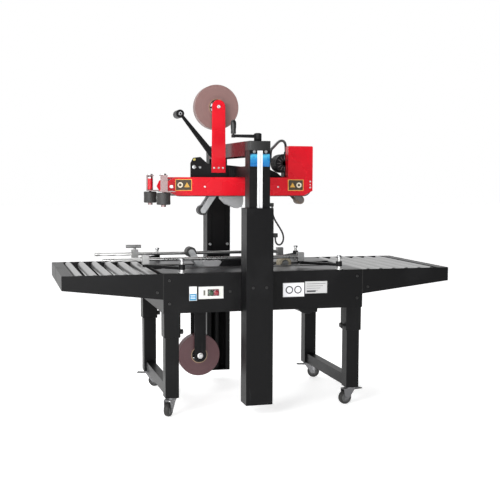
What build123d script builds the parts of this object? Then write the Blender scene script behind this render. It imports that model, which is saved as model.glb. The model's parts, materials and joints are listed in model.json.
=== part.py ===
"""Carton sealer machine: a case sealer that tapes the top and bottom of a carton.

The carton runs along +X over a roller table, between two lower belts and two upper
belts, past one tape cartridge below and one above.  The upper head rides on two
telescopic masts and is wound up and down by a hand crank.  Millimetres, +Z up,
origin on the floor under the middle of the table.
"""
import os
from math import atan2, degrees, hypot, pi, radians, tan

from build123d import *

# ------------------------------------------------------------------ driving sizes
OVERALL_LENGTH = 1770.0
TABLE_HEIGHT = 624.0
PANEL_SPREAD = 666.0        # across the outer faces of the two side panels
BODY_LENGTH = 914.0
PANEL_HEIGHT = 172.0
HEAD_GAP = 330.0            # table top to the underside of the head plates
SHEET = 3.0
RUNNING_CLEARANCE = 0.05    # radial, every shaft that turns in a hole
SLIDE_GAP = 0.5             # flat faces that pass each other
OPEN_PIVOT_CLEARANCE = 1.0  # radial, the far pivots of the carton guides

# roller table
DECK_SLOT_GAP = 6.0         # deck plate to the belt beside it
PANEL_FLANGE = 40.0
ROLLER_RADIUS = 19.0
ROLLER_WALL = 1.5
ROLLER_CAP = 8.0
ROLLER_COUNT = 6
ROLLER_PROUD = 1.5
FIRST_ROLLER = 33.0         # past the end of the body
LAST_ROLLER = 76.5          # short of the end plate's outer face
ROLLER_END_GAP = 16.0
AXLE_RADIUS = 5.0
AXLE_SKIN = 1.0             # of the side plate left over each blind axle hole
END_FLANGE = 50.0
PLATE_DEEP = 111.0
PLATE_SHALLOW = 62.0
CONVEYOR_HOLE_RADIUS = 4.5
CONVEYOR_HOLE_SPACING = 500.0
CONVEYOR_HOLE_DROP = 38.0

# legs and casters
SLEEVE_WIDTH = 72.0
SLEEVE_WALL = 4.0
SLEEVE_DROP = 107.0
SLEEVE_RISE = 145.0
LEG_WIDTH = 60.0
LEG_WALL = 3.0
LEG_OVERLAP = 88.0
LEG_BEAM_HEIGHT = 50.0
LEG_BEAM_WIDTH = 40.0
KNOB_RADIUS = 11.0
KNOB_STEM_RADIUS = 5.0
KNOB_STEM = 6.0
KNOB_HEIGHT = 12.0
CASTER_HEIGHT = 80.0
WHEEL_RADIUS = 31.0
WHEEL_WIDTH = 24.0
WHEEL_TRAIL = 27.0
FORK_SHEET = 3.0
FORK_DISC_RADIUS = 25.0
STEM_RADIUS = 6.0
PEDAL_REACH = 60.0
CASTER_HEADINGS = {"front_left": 235.0, "front_right": 190.0, "rear_left": 340.0, "rear_right": 340.0}

# masts and lifting columns
MAST_X = -54.0
MAST_DEPTH = 92.0
MAST_SHEET = 4.0
MAST_LIP = 22.0
MAST_FOOT_Z = 51.0
MAST_RISE = 282.0           # above the table
COLUMN_WIDTH = 92.0
COLUMN_DEPTH = 72.0
COLUMN_WALL = 3.0
PAD_THICKNESS = 9.5         # glide pads between column and mast
NUT_RADIUS = 20.0
COLUMN_RISE = 238.0         # above the underside of the head
COLUMN_DROP = 244.0         # below the table
SCREW_RADIUS = 8.0
SCREW_DROP = 366.0          # end of the lead screw below the table
NUT_DROP = 224.0
NUT_HEIGHT = 30.0
BEAM_HEIGHT = 63.0

# head, belts and motor
HEAD_BELT_GAP = 4.0         # upper belt to the head plate beside it
HEAD_SHEET = 4.0
HEAD_HEIGHT = 83.0
BELT_WIDTH = 46.0
BELT_THICK = 4.0
BELT_INNER_Y = 66.0
BELT_RADIUS = 40.0
BELT_PROUD = 4.0
UPPER_BELT_ENDS = (-340.0, 246.0)
LOWER_BELT_ENDS = (-398.0, 398.0)
LOWER_BELT_PROUD = 2.0
PULLEY_GAP = 0.3
COVER_X = (168.0, 288.0)
COVER_HEIGHT = 142.0
COVER_SHEET = 2.0
COVER_DEPTH = 41.0
COVER_SEAT = 4.0            # plate across the head that carries the cover and the motor
MOTOR_RADIUS = 43.0
MOTOR_AXIS_X = 163.0
MOTOR_Y = (-74.0, 10.0)
FAN_HUB_RADIUS = 18.0
PRESS_ROLLER_RADIUS = 31.0
PRESS_ROLLER_LENGTH = 53.0
PRESS_ROLLER_X = -428.0
PRESS_ROLLER_Y = 180.0

# tape cartridges
CARTRIDGE_HALF_WIDTH = 55.0
ARM_HALF_WIDTH = 36.0
TAPE_WIDTH = 48.0
TAPE_ROLLER_WIDTH = 54.0
TAPE_CORE_RADIUS = 38.0
UPPER_ROLL_RADIUS = 103.0
LOWER_ROLL_RADIUS = 98.0
ROLL_AXLE_RADIUS = 8.0
ARM_PIN_RADIUS = 6.0

# carton guides
POST_X = (-373.0, 350.0)
POST_INSET = 21.0
POST_HEIGHT = 64.0
POST_RADIUS = 7.0
RAIL_RADIUS = 8.0
RAIL_Y = 160.0
RAIL_HEIGHT = 48.0
RAIL_X = (-697.0, 230.0)
SWING_REACH = 134.0         # of each swing arm along -X
CLAMP_SIDE = 30.0
CLAMP_PIN_RADIUS = 6.0

# controls and cables
BUTTON_X = {"start_button": -250.5, "stop_button": -226.5}
BUTTON_RADIUS = 11.0
BUTTON_STEM_RADIUS = 6.0
BUTTON_DROP = 86.0
CRANK_REACH = 108.0
CRANK_HUB_RADIUS = 16.5
CRANK_HUB_HEIGHT = 32.0
CRANK_ARM_WIDTH = 16.0
CRANK_ARM_THICK = 14.0
CRANK_ARM_LIFT = 13.0       # arm above the foot of the hub
GRIP_RADIUS = 12.5
GRIP_LENGTH = 61.0
GRIP_GAP = 2.0              # grip above the arm
GRIP_PIN_RADIUS = 4.0
CONDUIT_DIAMETER = 12.0
LOOP_DIAMETER = 8.0
LOOP_SLOT_Y = (-362.0, -346.0)
LOOP_SLOT_DROP = 216.0      # slot for the cable clip, from the top of the mast

# ------------------------------------------------------------------ places worked out
half_length = OVERALL_LENGTH / 2
half_body = BODY_LENGTH / 2
roller_pitch = (half_length - half_body - FIRST_ROLLER - LAST_ROLLER) / (ROLLER_COUNT - 1)
panel_y = PANEL_SPREAD / 2
panel_inner_y = panel_y - SHEET
deck_z = TABLE_HEIGHT
deck_under_z = deck_z - SHEET
body_z = TABLE_HEIGHT - PANEL_HEIGHT
head_z = TABLE_HEIGHT + HEAD_GAP
head_top_z = head_z + HEAD_HEIGHT
column_top_z = head_z + COLUMN_RISE
mast_width = COLUMN_WIDTH + 2 * (SLIDE_GAP + PAD_THICKNESS + MAST_SHEET)
mast_y = panel_y + MAST_DEPTH / 2
mast_top_z = deck_z + MAST_RISE
leg_x = half_body - SHEET - SLEEVE_WIDTH / 2
leg_y = panel_inner_y - 1.0 - SLEEVE_WIDTH / 2
belt_outer_y = BELT_INNER_Y + BELT_WIDTH
half_head = belt_outer_y + HEAD_BELT_GAP + HEAD_SHEET
cover_y = (-half_head, -half_head + COVER_DEPTH)

NODES = {}


# ------------------------------------------------------------------ small helpers
def block(x, y, z):
    """Box from three (low, high) pairs."""
    sizes = [high - low for low, high in (x, y, z)]
    middle = [(high + low) / 2 for low, high in (x, y, z)]
    return Pos(*middle) * Box(*sizes)


def disc(centre, radius, low, high, axis="Y"):
    """Cylinder along one axis, from low to high on it; centre gives the other two places."""
    length = high - low
    middle = (low + high) / 2
    if axis == "X":
        return Pos(middle, *centre) * Rot(0, 90, 0) * Cylinder(radius, length)
    if axis == "Y":
        return Pos(centre[0], middle, centre[1]) * Rot(90, 0, 0) * Cylinder(radius, length)
    return Pos(centre[0], centre[1], middle) * Cylinder(radius, length)


def plate(outline, y_low, y_high):
    """Flat plate standing in the XZ plane, between two Y places."""
    edge = Polyline(*[(x, y_low, z) for x, z in outline], close=True)
    return extrude(make_face(edge), amount=y_high - y_low, dir=(0, 1, 0))


def link(start, end, start_width, end_width, y_low, y_high):
    """Flat bar with round ends between two points of the XZ plane."""
    dx, dz = end[0] - start[0], end[1] - start[1]
    reach = hypot(dx, dz)
    nx, nz = -dz / reach, dx / reach
    sides = []
    for point, width, sign in ((start, start_width, 1), (end, end_width, 1),
                               (end, end_width, -1), (start, start_width, -1)):
        sides.append((point[0] + sign * nx * width / 2, point[1] + sign * nz * width / 2))
    bar = plate(sides, y_low, y_high)
    bar += disc(start, start_width / 2, y_low, y_high)
    bar += disc(end, end_width / 2, y_low, y_high)
    return bar


def both_sides(shape):
    """The shape and its mirror image across the machine's long middle plane."""
    return [shape, mirror(shape, about=Plane.XZ)]


def add(name, *shapes):
    """Collect the separate solids of one sub-part."""
    solids = []
    for shape in shapes:
        for piece in shape if isinstance(shape, (list, tuple)) else [shape]:
            solids.extend(piece.solids())
    NODES[name] = Compound(solids)


def belt_loop(ends, top_z, y_low, y_high):
    """Flat belt on two pulleys of one size: a long ring with round ends."""
    axis_z = top_z - BELT_RADIUS

    def stadium(radius):
        shape = block(ends, (y_low, y_high), (axis_z - radius, axis_z + radius))
        for x in ends:
            shape += disc((x, axis_z), radius, y_low, y_high)
        return shape

    return stadium(BELT_RADIUS) - stadium(BELT_RADIUS - BELT_THICK)


def pulley(x, top_z, y_low, y_high):
    return disc((x, top_z - BELT_RADIUS), BELT_RADIUS - BELT_THICK - PULLEY_GAP, y_low, y_high)


def cord(points, diameter):
    """Round cord along straight runs joined by the largest arcs the runs allow."""
    knots = [Vector(*point) for point in points]
    runs = [after - before for before, after in zip(knots, knots[1:])]
    radii = []
    for before, after in zip(runs, runs[1:]):
        turn = radians(before.get_angle(after))
        radii.append(0.45 * min(before.length, after.length) / tan(turn / 2))
    path = FilletPolyline(*points, radius=radii)
    tube = sweep(Plane(origin=path @ 0, z_dir=path % 0) * Circle(diameter / 2), path)
    section = pi * diameter ** 2 / 4
    print("cord", round(path.length, 1), "mm, radii", [round(r) for r in radii],
          "volume ratio", round(tube.volume / (section * path.length), 4))
    return tube


# ------------------------------------------------------------------ table body
def side_panel():
    """Folded side panel: web, top flange and the holes that the front one carries."""
    web = block((-half_body, half_body), (-panel_y, -panel_inner_y), (body_z, deck_z))
    flange_y = (-panel_y, -panel_y + PANEL_FLANGE)
    return web + block((-half_body, half_body), flange_y, (deck_under_z, deck_z))


front_panel = side_panel()
for button_x in BUTTON_X.values():
    front_panel -= disc((button_x, deck_z - BUTTON_DROP), BUTTON_STEM_RADIUS + RUNNING_CLEARANCE,
                        -panel_y - 1, -panel_inner_y + 1)
rear_panel = mirror(side_panel(), about=Plane.XZ)
cross_plates = []
for side in (-1, 1):
    ends = sorted((side * half_body, side * (half_body - SHEET)))
    cross_plates.append(block(ends, (-panel_inner_y, panel_inner_y), (body_z, deck_under_z)))
add("table_body", front_panel, rear_panel, cross_plates)

deck_x = (-half_body, half_body)
deck_y = (-panel_y + PANEL_FLANGE, -belt_outer_y - DECK_SLOT_GAP)
add("table_deck", both_sides(block(deck_x, deck_y, (deck_under_z, deck_z))))


# ------------------------------------------------------------------ roller extensions
roller_z = deck_z + ROLLER_PROUD - ROLLER_RADIUS
roller_places = [half_body + FIRST_ROLLER + roller_pitch * i for i in range(ROLLER_COUNT)]


def extension_frame():
    """Outfeed extension: two tapered side plates, a drilled end plate and a tie bar."""
    outline = [(half_body, deck_z), (half_length - SHEET, deck_z),
               (half_length - SHEET, deck_z - PLATE_SHALLOW), (half_body, deck_z - PLATE_DEEP)]
    cheek = plate(outline, -panel_y, -panel_inner_y)
    for x in roller_places:
        cheek -= disc((x, roller_z), AXLE_RADIUS + RUNNING_CLEARANCE, -panel_y + AXLE_SKIN, -panel_inner_y + 1)
    end_plate = block((half_length - SHEET, half_length), (-panel_y, panel_y), (deck_z - PLATE_SHALLOW, deck_z))
    end_plate += block((half_length - END_FLANGE, half_length), (-panel_inner_y, panel_inner_y),
                       (deck_under_z, deck_z))
    for y in (-CONVEYOR_HOLE_SPACING / 2, CONVEYOR_HOLE_SPACING / 2):
        end_plate -= disc((y, deck_z - CONVEYOR_HOLE_DROP), CONVEYOR_HOLE_RADIUS,
                          half_length - SHEET - 1, half_length + 1, "X")
    tie_z = deck_z - PLATE_DEEP + 8
    tie = block((half_body + 8, half_body + 33), (-panel_inner_y, panel_inner_y), (tie_z, tie_z + 25))
    return both_sides(cheek) + [end_plate, tie]


outfeed_frame = extension_frame()
infeed_frame = [mirror(piece, about=Plane.YZ) for piece in outfeed_frame]
add("extension_frames", outfeed_frame, infeed_frame)

for direction, name in ((-1, "infeed_roller"), (1, "outfeed_roller")):
    for number, x in enumerate(roller_places, 1):
        centre = (direction * x, roller_z)
        tube_end = panel_inner_y - ROLLER_END_GAP
        roller = disc(centre, ROLLER_RADIUS, -tube_end, tube_end)
        roller -= disc(centre, ROLLER_RADIUS - ROLLER_WALL, ROLLER_CAP - tube_end, tube_end - ROLLER_CAP)
        axle_end = panel_y - AXLE_SKIN - SLIDE_GAP
        roller += disc(centre, AXLE_RADIUS, -axle_end, axle_end)
        add(f"{name}_{number}", roller)


# ------------------------------------------------------------------ legs
def square_tube(x, y, side, wall, z_low, z_high):
    half = side / 2
    inner = half - wall
    tube = block((x - half, x + half), (y - half, y + half), (z_low, z_high))
    return tube - block((x - inner, x + inner), (y - inner, y + inner), (z_low - 1, z_high + 1))


sleeve_low = body_z - SLEEVE_DROP
sleeve_high = body_z + SLEEVE_RISE
knob_z = sleeve_low + 21
sleeves = []
legs = []
for side_x in (-1, 1):
    for side_y in (-1, 1):
        x, y = side_x * leg_x, side_y * leg_y
        sleeves.append(square_tube(x, y, SLEEVE_WIDTH, SLEEVE_WALL, sleeve_low, sleeve_high))
        face = side_x * (leg_x - SLEEVE_WIDTH / 2)
        stem = sorted((face, face - side_x * KNOB_STEM))
        head = sorted((face - side_x * KNOB_STEM, face - side_x * (KNOB_STEM + KNOB_HEIGHT)))
        knob = disc((y, knob_z), KNOB_STEM_RADIUS, *stem, "X") + disc((y, knob_z), KNOB_RADIUS, *head, "X")
        sleeves.append(knob)
        leg = square_tube(x, y, LEG_WIDTH, LEG_WALL, CASTER_HEIGHT, body_z + LEG_OVERLAP)
        half = LEG_WIDTH / 2 - LEG_WALL
        foot = block((x - half, x + half), (y - half, y + half), (CASTER_HEIGHT, CASTER_HEIGHT + 6))
        foot -= disc((x, y), STEM_RADIUS + RUNNING_CLEARANCE, CASTER_HEIGHT - 1, CASTER_HEIGHT + 7, "Z")
        legs.append(leg)
        legs.append(foot)
    beam_x = sorted((side_x * (leg_x - LEG_BEAM_WIDTH / 2), side_x * (leg_x + LEG_BEAM_WIDTH / 2)))
    beam_y = leg_y - LEG_WIDTH / 2
    beam_z = (CASTER_HEIGHT, CASTER_HEIGHT + LEG_BEAM_HEIGHT)
    cross_beam = block(beam_x, (-beam_y, beam_y), beam_z)
    cross_beam -= block((beam_x[0] + LEG_WALL, beam_x[1] - LEG_WALL), (-beam_y - 1, beam_y + 1),
                        (beam_z[0] + LEG_WALL, beam_z[1] - LEG_WALL))
    legs.append(cross_beam)
add("leg_sleeves", sleeves)
add("telescopic_legs", legs)


# ------------------------------------------------------------------ casters
def caster_fork():
    """Swivel fork that trails along +X from its stem, with its axle and a pedal in front."""
    top_z = CASTER_HEIGHT - SLIDE_GAP
    disc_low = top_z - 7
    fork = disc((0, 0), STEM_RADIUS, disc_low, CASTER_HEIGHT + 20, "Z")
    fork += disc((0, 0), FORK_DISC_RADIUS, disc_low, top_z, "Z")
    cheek_y = WHEEL_WIDTH / 2 + 2
    outline = [(-FORK_DISC_RADIUS + 4, disc_low + 1), (WHEEL_TRAIL + 12, disc_low + 1),
               (WHEEL_TRAIL + 10, WHEEL_RADIUS - 8), (WHEEL_TRAIL - 10, WHEEL_RADIUS - 8)]
    for y_low in (-cheek_y - FORK_SHEET, cheek_y):
        fork += plate(outline, y_low, y_low + FORK_SHEET)
    crown = block((-FORK_DISC_RADIUS + 4, WHEEL_TRAIL + 12), (-cheek_y - FORK_SHEET, cheek_y + FORK_SHEET),
                  (disc_low - 3, disc_low + 1))
    fork += crown
    fork += disc((WHEEL_TRAIL, WHEEL_RADIUS), AXLE_RADIUS, -cheek_y - FORK_SHEET - 3, cheek_y + FORK_SHEET + 3)
    pedal = block((-PEDAL_REACH, -12), (-WHEEL_WIDTH / 2, WHEEL_WIDTH / 2), (disc_low - 7, disc_low - 3))
    return [fork, pedal]


def caster_wheel():
    wheel = disc((WHEEL_TRAIL, WHEEL_RADIUS), WHEEL_RADIUS, -WHEEL_WIDTH / 2, WHEEL_WIDTH / 2)
    wheel = fillet(wheel.edges(), 4)
    return wheel - disc((WHEEL_TRAIL, WHEEL_RADIUS), AXLE_RADIUS + RUNNING_CLEARANCE, -WHEEL_WIDTH, WHEEL_WIDTH)


for place, heading in CASTER_HEADINGS.items():
    side_y = -1 if "front" in place else 1
    side_x = -1 if "left" in place else 1
    spot = Pos(side_x * leg_x, side_y * leg_y, 0) * Rot(0, 0, heading)
    add(f"caster_fork_{place}", [spot * piece for piece in caster_fork()])
    add(f"caster_wheel_{place}", spot * caster_wheel())

# ------------------------------------------------------------------ masts, screw nuts
mast_x = (MAST_X - mast_width / 2, MAST_X + mast_width / 2)
mast_outer_y = -panel_y - MAST_DEPTH
mast_lip_y = -panel_y
sleeve_z = (MAST_FOOT_Z, mast_top_z)


def mast_sleeve():
    """Lipped channel, open towards the table, with glide pads at its mouth."""
    channel = block(mast_x, (mast_outer_y, mast_lip_y), sleeve_z)
    hollow_x = (mast_x[0] + MAST_SHEET, mast_x[1] - MAST_SHEET)
    channel -= block(hollow_x, (mast_outer_y + MAST_SHEET, mast_lip_y - MAST_SHEET), (0, mast_top_z + 1))
    mouth_x = (mast_x[0] + MAST_LIP, mast_x[1] - MAST_LIP)
    channel -= block(mouth_x, (mast_lip_y - MAST_SHEET - 1, mast_lip_y + 1), (0, mast_top_z + 1))
    return channel


def mast_inside():
    """Glide pads, foot plate, and the post that carries the lead screw's nut."""
    pieces = []
    for side in (-1, 1):
        pad_x = sorted((MAST_X + side * (COLUMN_WIDTH / 2 + SLIDE_GAP),
                        MAST_X + side * (mast_width / 2 - MAST_SHEET)))
        pieces.append(block(pad_x, (-mast_y - 22, -mast_y + 10), (mast_top_z - 40, mast_top_z - 2)))
    hollow_x = (mast_x[0] + MAST_SHEET, mast_x[1] - MAST_SHEET)
    hollow_y = (mast_outer_y + MAST_SHEET, mast_lip_y - MAST_SHEET)
    pieces.append(block(hollow_x, hollow_y, (MAST_FOOT_Z, MAST_FOOT_Z + 5)))
    nut_z = deck_z - NUT_DROP
    post = disc((MAST_X, -mast_y), NUT_RADIUS, MAST_FOOT_Z + 5, nut_z, "Z")
    pieces.append(post - disc((MAST_X, -mast_y), 14, 0, nut_z + 1, "Z"))
    nut = disc((MAST_X, -mast_y), NUT_RADIUS, nut_z, nut_z + NUT_HEIGHT, "Z")
    pieces.append(nut - disc((MAST_X, -mast_y), SCREW_RADIUS + RUNNING_CLEARANCE, 0, nut_z + 99, "Z"))
    return pieces


slot = block((mast_x[1] - MAST_SHEET - 1, mast_x[1] + 1), LOOP_SLOT_Y,
             (mast_top_z - LOOP_SLOT_DROP, mast_top_z + 1))
gland_y, gland_z = -390.0, mast_top_z - 128
loop_gland = block((mast_x[1], mast_x[1] + 27), (gland_y - 9, gland_y + 9), (gland_z, gland_z + 18))
add("mast_sleeves", mast_sleeve() - slot, mirror(mast_sleeve(), about=Plane.XZ),
    [copy for piece in mast_inside() for copy in both_sides(piece)], loop_gland)

# ------------------------------------------------------------------ lifting columns and beam
column_x = (MAST_X - COLUMN_WIDTH / 2, MAST_X + COLUMN_WIDTH / 2)
column_y = (-mast_y - COLUMN_DEPTH / 2, -mast_y + COLUMN_DEPTH / 2)
column_low = deck_z - COLUMN_DROP
screw_low = deck_z - SCREW_DROP


def column():
    """Rectangular tube with a closed, drilled top."""
    tube = block(column_x, column_y, (column_low, column_top_z))
    hollow_x = (column_x[0] + COLUMN_WALL, column_x[1] - COLUMN_WALL)
    hollow_y = (column_y[0] + COLUMN_WALL, column_y[1] - COLUMN_WALL)
    tube -= block(hollow_x, hollow_y, (column_low - 1, column_top_z - 6))
    hole = disc((MAST_X, -mast_y), SCREW_RADIUS + RUNNING_CLEARANCE, column_top_z - 7, column_top_z + 1, "Z")
    return tube - hole


beam_x = (column_x[0] - 2, column_x[1] + 2)
beam_z = (column_top_z - BEAM_HEIGHT, column_top_z)
beam = block(beam_x, (column_y[1], -column_y[1]), beam_z)
beam -= block((beam_x[0] + SHEET, beam_x[1] - SHEET), (column_y[1] - 1, -column_y[1] + 1),
              (beam_z[0] - 1, beam_z[1] - SHEET))
rear_screw = disc((MAST_X, mast_y), SCREW_RADIUS, screw_low, column_top_z - 6.2, "Z")
rear_cap = disc((MAST_X, mast_y), SCREW_RADIUS + 5, column_top_z, column_top_z + 5, "Z")
rear_screw += disc((MAST_X, mast_y), SCREW_RADIUS, column_top_z - 7, column_top_z, "Z")
loop_clip_z = mast_top_z + 4
loop_clip = block((column_x[1], mast_x[1] + 20), (LOOP_SLOT_Y[0] + 3, LOOP_SLOT_Y[1] - 3),
                  (loop_clip_z, loop_clip_z + 16))
conduit_end = (column_x[1] + 11, -mast_y, head_z + 164)
conduit_gland = block((column_x[1], column_x[1] + 20), (-mast_y - 9, -mast_y + 9), (head_z + 146, conduit_end[2]))
add("lift_columns", both_sides(column()), beam, rear_screw, rear_cap, loop_clip, conduit_gland)

# ------------------------------------------------------------------ hand crank and front lead screw
crank_z = column_top_z + SLIDE_GAP
crank_arm_z = (crank_z + CRANK_ARM_LIFT, crank_z + CRANK_ARM_LIFT + CRANK_ARM_THICK)
arm_half = CRANK_ARM_WIDTH / 2
arm_x = (MAST_X - CRANK_REACH, MAST_X)
crank = disc((MAST_X, -mast_y), CRANK_HUB_RADIUS, crank_z, crank_z + CRANK_HUB_HEIGHT, "Z")
crank += disc((MAST_X, -mast_y), SCREW_RADIUS, screw_low, crank_z + 1, "Z")
crank += block(arm_x, (-mast_y - arm_half, -mast_y + arm_half), crank_arm_z)
crank += disc((arm_x[0], -mast_y), arm_half, *crank_arm_z, "Z")
grip_z = (crank_arm_z[1] + GRIP_GAP, crank_arm_z[1] + GRIP_GAP + GRIP_LENGTH)
grip = disc((arm_x[0], -mast_y), GRIP_RADIUS, *grip_z, "Z")
grip += disc((arm_x[0], -mast_y), GRIP_PIN_RADIUS, crank_arm_z[1], grip_z[0] + 1, "Z")
add("hand_crank", crank + grip)

# ------------------------------------------------------------------ head frame
head_inner_y = half_head - HEAD_SHEET
nose_x = -408.0
head_end_x = COVER_X[1]
head_outline = [(-360, head_z), (-396, head_z + 20), (nose_x, head_z + 40), (-396, head_z + 66),
                (-366, head_top_z), (head_end_x, head_top_z), (head_end_x, head_z + 21),
                (head_end_x - 43, head_z)]
head_plate = plate(head_outline, -half_head, -head_inner_y)
arm_z = (head_top_z + 3, head_top_z + 48)
head_arm = block((MAST_X - 36, MAST_X + 33), (column_y[1], -head_inner_y), arm_z)
head_arm_foot = block((MAST_X - 60, MAST_X + 52), (-half_head, -head_inner_y), (head_top_z, arm_z[1]))
press_shaft_z = (head_z - 49, head_z + 98)
press_axis = (PRESS_ROLLER_X, -PRESS_ROLLER_Y)
press_z = (head_z - 39, head_z - 39 + PRESS_ROLLER_LENGTH)
bracket_z = press_z[1] + 3
bracket = block((PRESS_ROLLER_X - 16, nose_x + 30), (-PRESS_ROLLER_Y - 16, -half_head), (bracket_z, bracket_z + 5))
bracket += block((PRESS_ROLLER_X - 16, PRESS_ROLLER_X + 16), (-PRESS_ROLLER_Y - 16, -PRESS_ROLLER_Y - 12),
                 (bracket_z, bracket_z + 75))
bracket += block((PRESS_ROLLER_X - 16, PRESS_ROLLER_X + 16), (-PRESS_ROLLER_Y - 16, -PRESS_ROLLER_Y + 16),
                 (bracket_z + 71, bracket_z + 75))
bracket -= disc(press_axis, 6, bracket_z - 1, bracket_z + 80, "Z")
press_shaft = disc(press_axis, 6, *press_shaft_z, "Z")
press_shaft += disc(press_axis, 11, press_shaft_z[0], press_z[0] - SLIDE_GAP, "Z")
pulley_top = head_z - BELT_PROUD + 2 * BELT_RADIUS
upper_pulleys = []
for x in UPPER_BELT_ENDS:
    upper_pulleys += both_sides(pulley(x, pulley_top, -belt_outer_y, -BELT_INNER_Y))
add("head_frame", both_sides(head_plate), both_sides(head_arm + head_arm_foot), both_sides(bracket),
    both_sides(press_shaft), upper_pulleys)

belt_y = (-belt_outer_y, -BELT_INNER_Y)
add("upper_belts", both_sides(belt_loop(UPPER_BELT_ENDS, pulley_top, *belt_y)))

for name, side in (("front_press_roller", 1), ("rear_press_roller", -1)):
    centre = (press_axis[0], side * press_axis[1])
    roller = disc(centre, PRESS_ROLLER_RADIUS, *press_z, "Z")
    roller = fillet(roller.edges(), 3)
    add(name, roller - disc(centre, 6 + RUNNING_CLEARANCE, 0, 2000, "Z"))

# ------------------------------------------------------------------ motor and its cover
seat_z = head_top_z + COVER_SEAT
seat = block(COVER_X, (-half_head, half_head), (head_top_z, seat_z))
cover_z = (seat_z, seat_z + COVER_HEIGHT)
cover = block(COVER_X, cover_y, cover_z)
cover = fillet(cover.edges().filter_by(Axis.Y).sort_by(Axis.Z)[-2:], 6)
cover -= block((COVER_X[0] + COVER_SHEET, COVER_X[1] - COVER_SHEET),
               (cover_y[0] + COVER_SHEET, cover_y[1] - COVER_SHEET), (cover_z[0] - 1, cover_z[1] - COVER_SHEET))
motor_axis = (MOTOR_AXIS_X, head_top_z + 66)
motor = disc(motor_axis, MOTOR_RADIUS, *MOTOR_Y)
motor += disc(motor_axis, FAN_HUB_RADIUS, MOTOR_Y[0] - 4, MOTOR_Y[0])
motor += block((MOTOR_AXIS_X + 27, COVER_X[1] - 18), (MOTOR_Y[1], MOTOR_Y[1] + 52), (seat_z, seat_z + 109))
conduit_start = (MOTOR_AXIS_X + 18, -40.0, motor_axis[1] + MOTOR_RADIUS + 12)
motor += disc(conduit_start[:2], 9, motor_axis[1] + 30, conduit_start[2], "Z")
add("motor_cover", seat, cover, motor)

# ------------------------------------------------------------------ tape cartridges
# The lower cartridge is the upper one turned over; each has a sprung front and rear
# roller arm on one link, a toothed cutter under a guard, and a tape roll on a bracket.
cart_y = (-CARTRIDGE_HALF_WIDTH, -CARTRIDGE_HALF_WIDTH + SHEET)
arm_y = (-ARM_HALF_WIDTH, -ARM_HALF_WIDTH + SHEET)
UPPER_FRONT_PIVOT = (-129.0, head_z + 56)
UPPER_FRONT_ROLLER = (-215.0, head_z - 70)
UPPER_REAR_PIVOT = (190.0, head_z + 46)
UPPER_REAR_ROLLER = (260.0, head_z - 23)
LOWER_FRONT_PIVOT = (-188.0, deck_z - 62)
LOWER_FRONT_ROLLER = (-271.0, deck_z + 66)
LOWER_REAR_PIVOT = (110.0, deck_z - 64)
LOWER_REAR_ROLLER = (187.0, deck_z + 6)
UPPER_ROLL_AXIS = (-149.0, head_z + 406)
LOWER_ROLL_AXIS = (-233.0, deck_z - 418)


def through_rod(centre, radius, half_width):
    return disc(centre, radius, -half_width, half_width)


def roller_arm(name, pivot, tip, width):
    """Two chrome cheeks on a bored pivot tube, with the roller's pin across the tip."""
    arm = sum((piece for piece in both_sides(link(pivot, tip, width, width, *arm_y))), Part())
    arm += through_rod(pivot, width / 2, ARM_HALF_WIDTH)
    arm -= through_rod(pivot, ARM_PIN_RADIUS + RUNNING_CLEARANCE, ARM_HALF_WIDTH + 1)
    arm += through_rod(tip, ARM_PIN_RADIUS, ARM_HALF_WIDTH)
    add(name, arm)


def wiping_roller(name, centre, radius):
    roller = through_rod(centre, radius, TAPE_ROLLER_WIDTH / 2)
    add(name, roller - through_rod(centre, ARM_PIN_RADIUS + RUNNING_CLEARANCE, TAPE_ROLLER_WIDTH))


def tape_roll(name, centre, radius):
    """Roll of tape on its core, pressed on a hub that turns on the bracket's axle."""
    tape = through_rod(centre, radius, TAPE_WIDTH / 2) - through_rod(centre, TAPE_CORE_RADIUS, TAPE_WIDTH)
    hub = through_rod(centre, TAPE_CORE_RADIUS, TAPE_WIDTH / 2 + 3)
    hub -= through_rod(centre, ROLL_AXLE_RADIUS + RUNNING_CLEARANCE, TAPE_WIDTH)
    add(name, tape, hub)


upper_back = [(-104, head_z + 139), (100, head_z + 120), (135, head_z + 105), (160, head_top_z + 2),
              (160, head_top_z - 3), (222, head_top_z - 3), (222, head_z + 20), (150, head_z + 4),
              (-140, head_z + 4)]
front_nose = [(-281, head_z + 50), (-281, head_z + 148), (-268, head_z + 172), (-234, head_z + 176),
              (-200, head_z + 146)]
rear_nose = [(-250, head_z + 50), (-250, head_z + 130), (-236, head_z + 146)]
upper_frame = [plate(front_nose + upper_back, *cart_y), plate(rear_nose + upper_back, -cart_y[1], -cart_y[0])]
roll_arm_y = (cart_y[0] - 4, cart_y[0])
roll_arm_foot = (UPPER_ROLL_AXIS[0], head_z + 136)
roll_arm = link(roll_arm_foot, UPPER_ROLL_AXIS, 66, 62, *roll_arm_y)
roll_arm += block((roll_arm_foot[0] - 33, roll_arm_foot[0] + 33), roll_arm_y, (head_z + 104, roll_arm_foot[1]))
roll_arm += disc(UPPER_ROLL_AXIS, ROLL_AXLE_RADIUS, roll_arm_y[0], 34)
roll_arm += disc(UPPER_ROLL_AXIS, ROLL_AXLE_RADIUS + 8, roll_arm_y[1], -TAPE_WIDTH / 2 - 4)
lever_y = (-50.0, -46.0)
lever_bend = (-182, head_z + 194)
lever_tip = (-326, head_z + 371)
lever = link(lever_bend, lever_tip, 31, 13, *lever_y)
lever += link(lever_bend, (-150, head_z + 160), 31, 31, *lever_y)
lever += block((-170, -128), (cart_y[1], lever_y[0]), (head_z + 110, head_z + 142))
lever += block((-170, -128), lever_y, (head_z + 110, head_z + 160))
lever_roller = disc(lever_tip, 19, lever_y[1], 30.0)
guard_outline = [(-127, head_z + 30), (-127, head_z - 16), (-101, head_z - 42), (-52, head_z - 62),
                 (-29, head_z - 54), (-23, head_z - 30), (-23, head_z + 30)]
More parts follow.
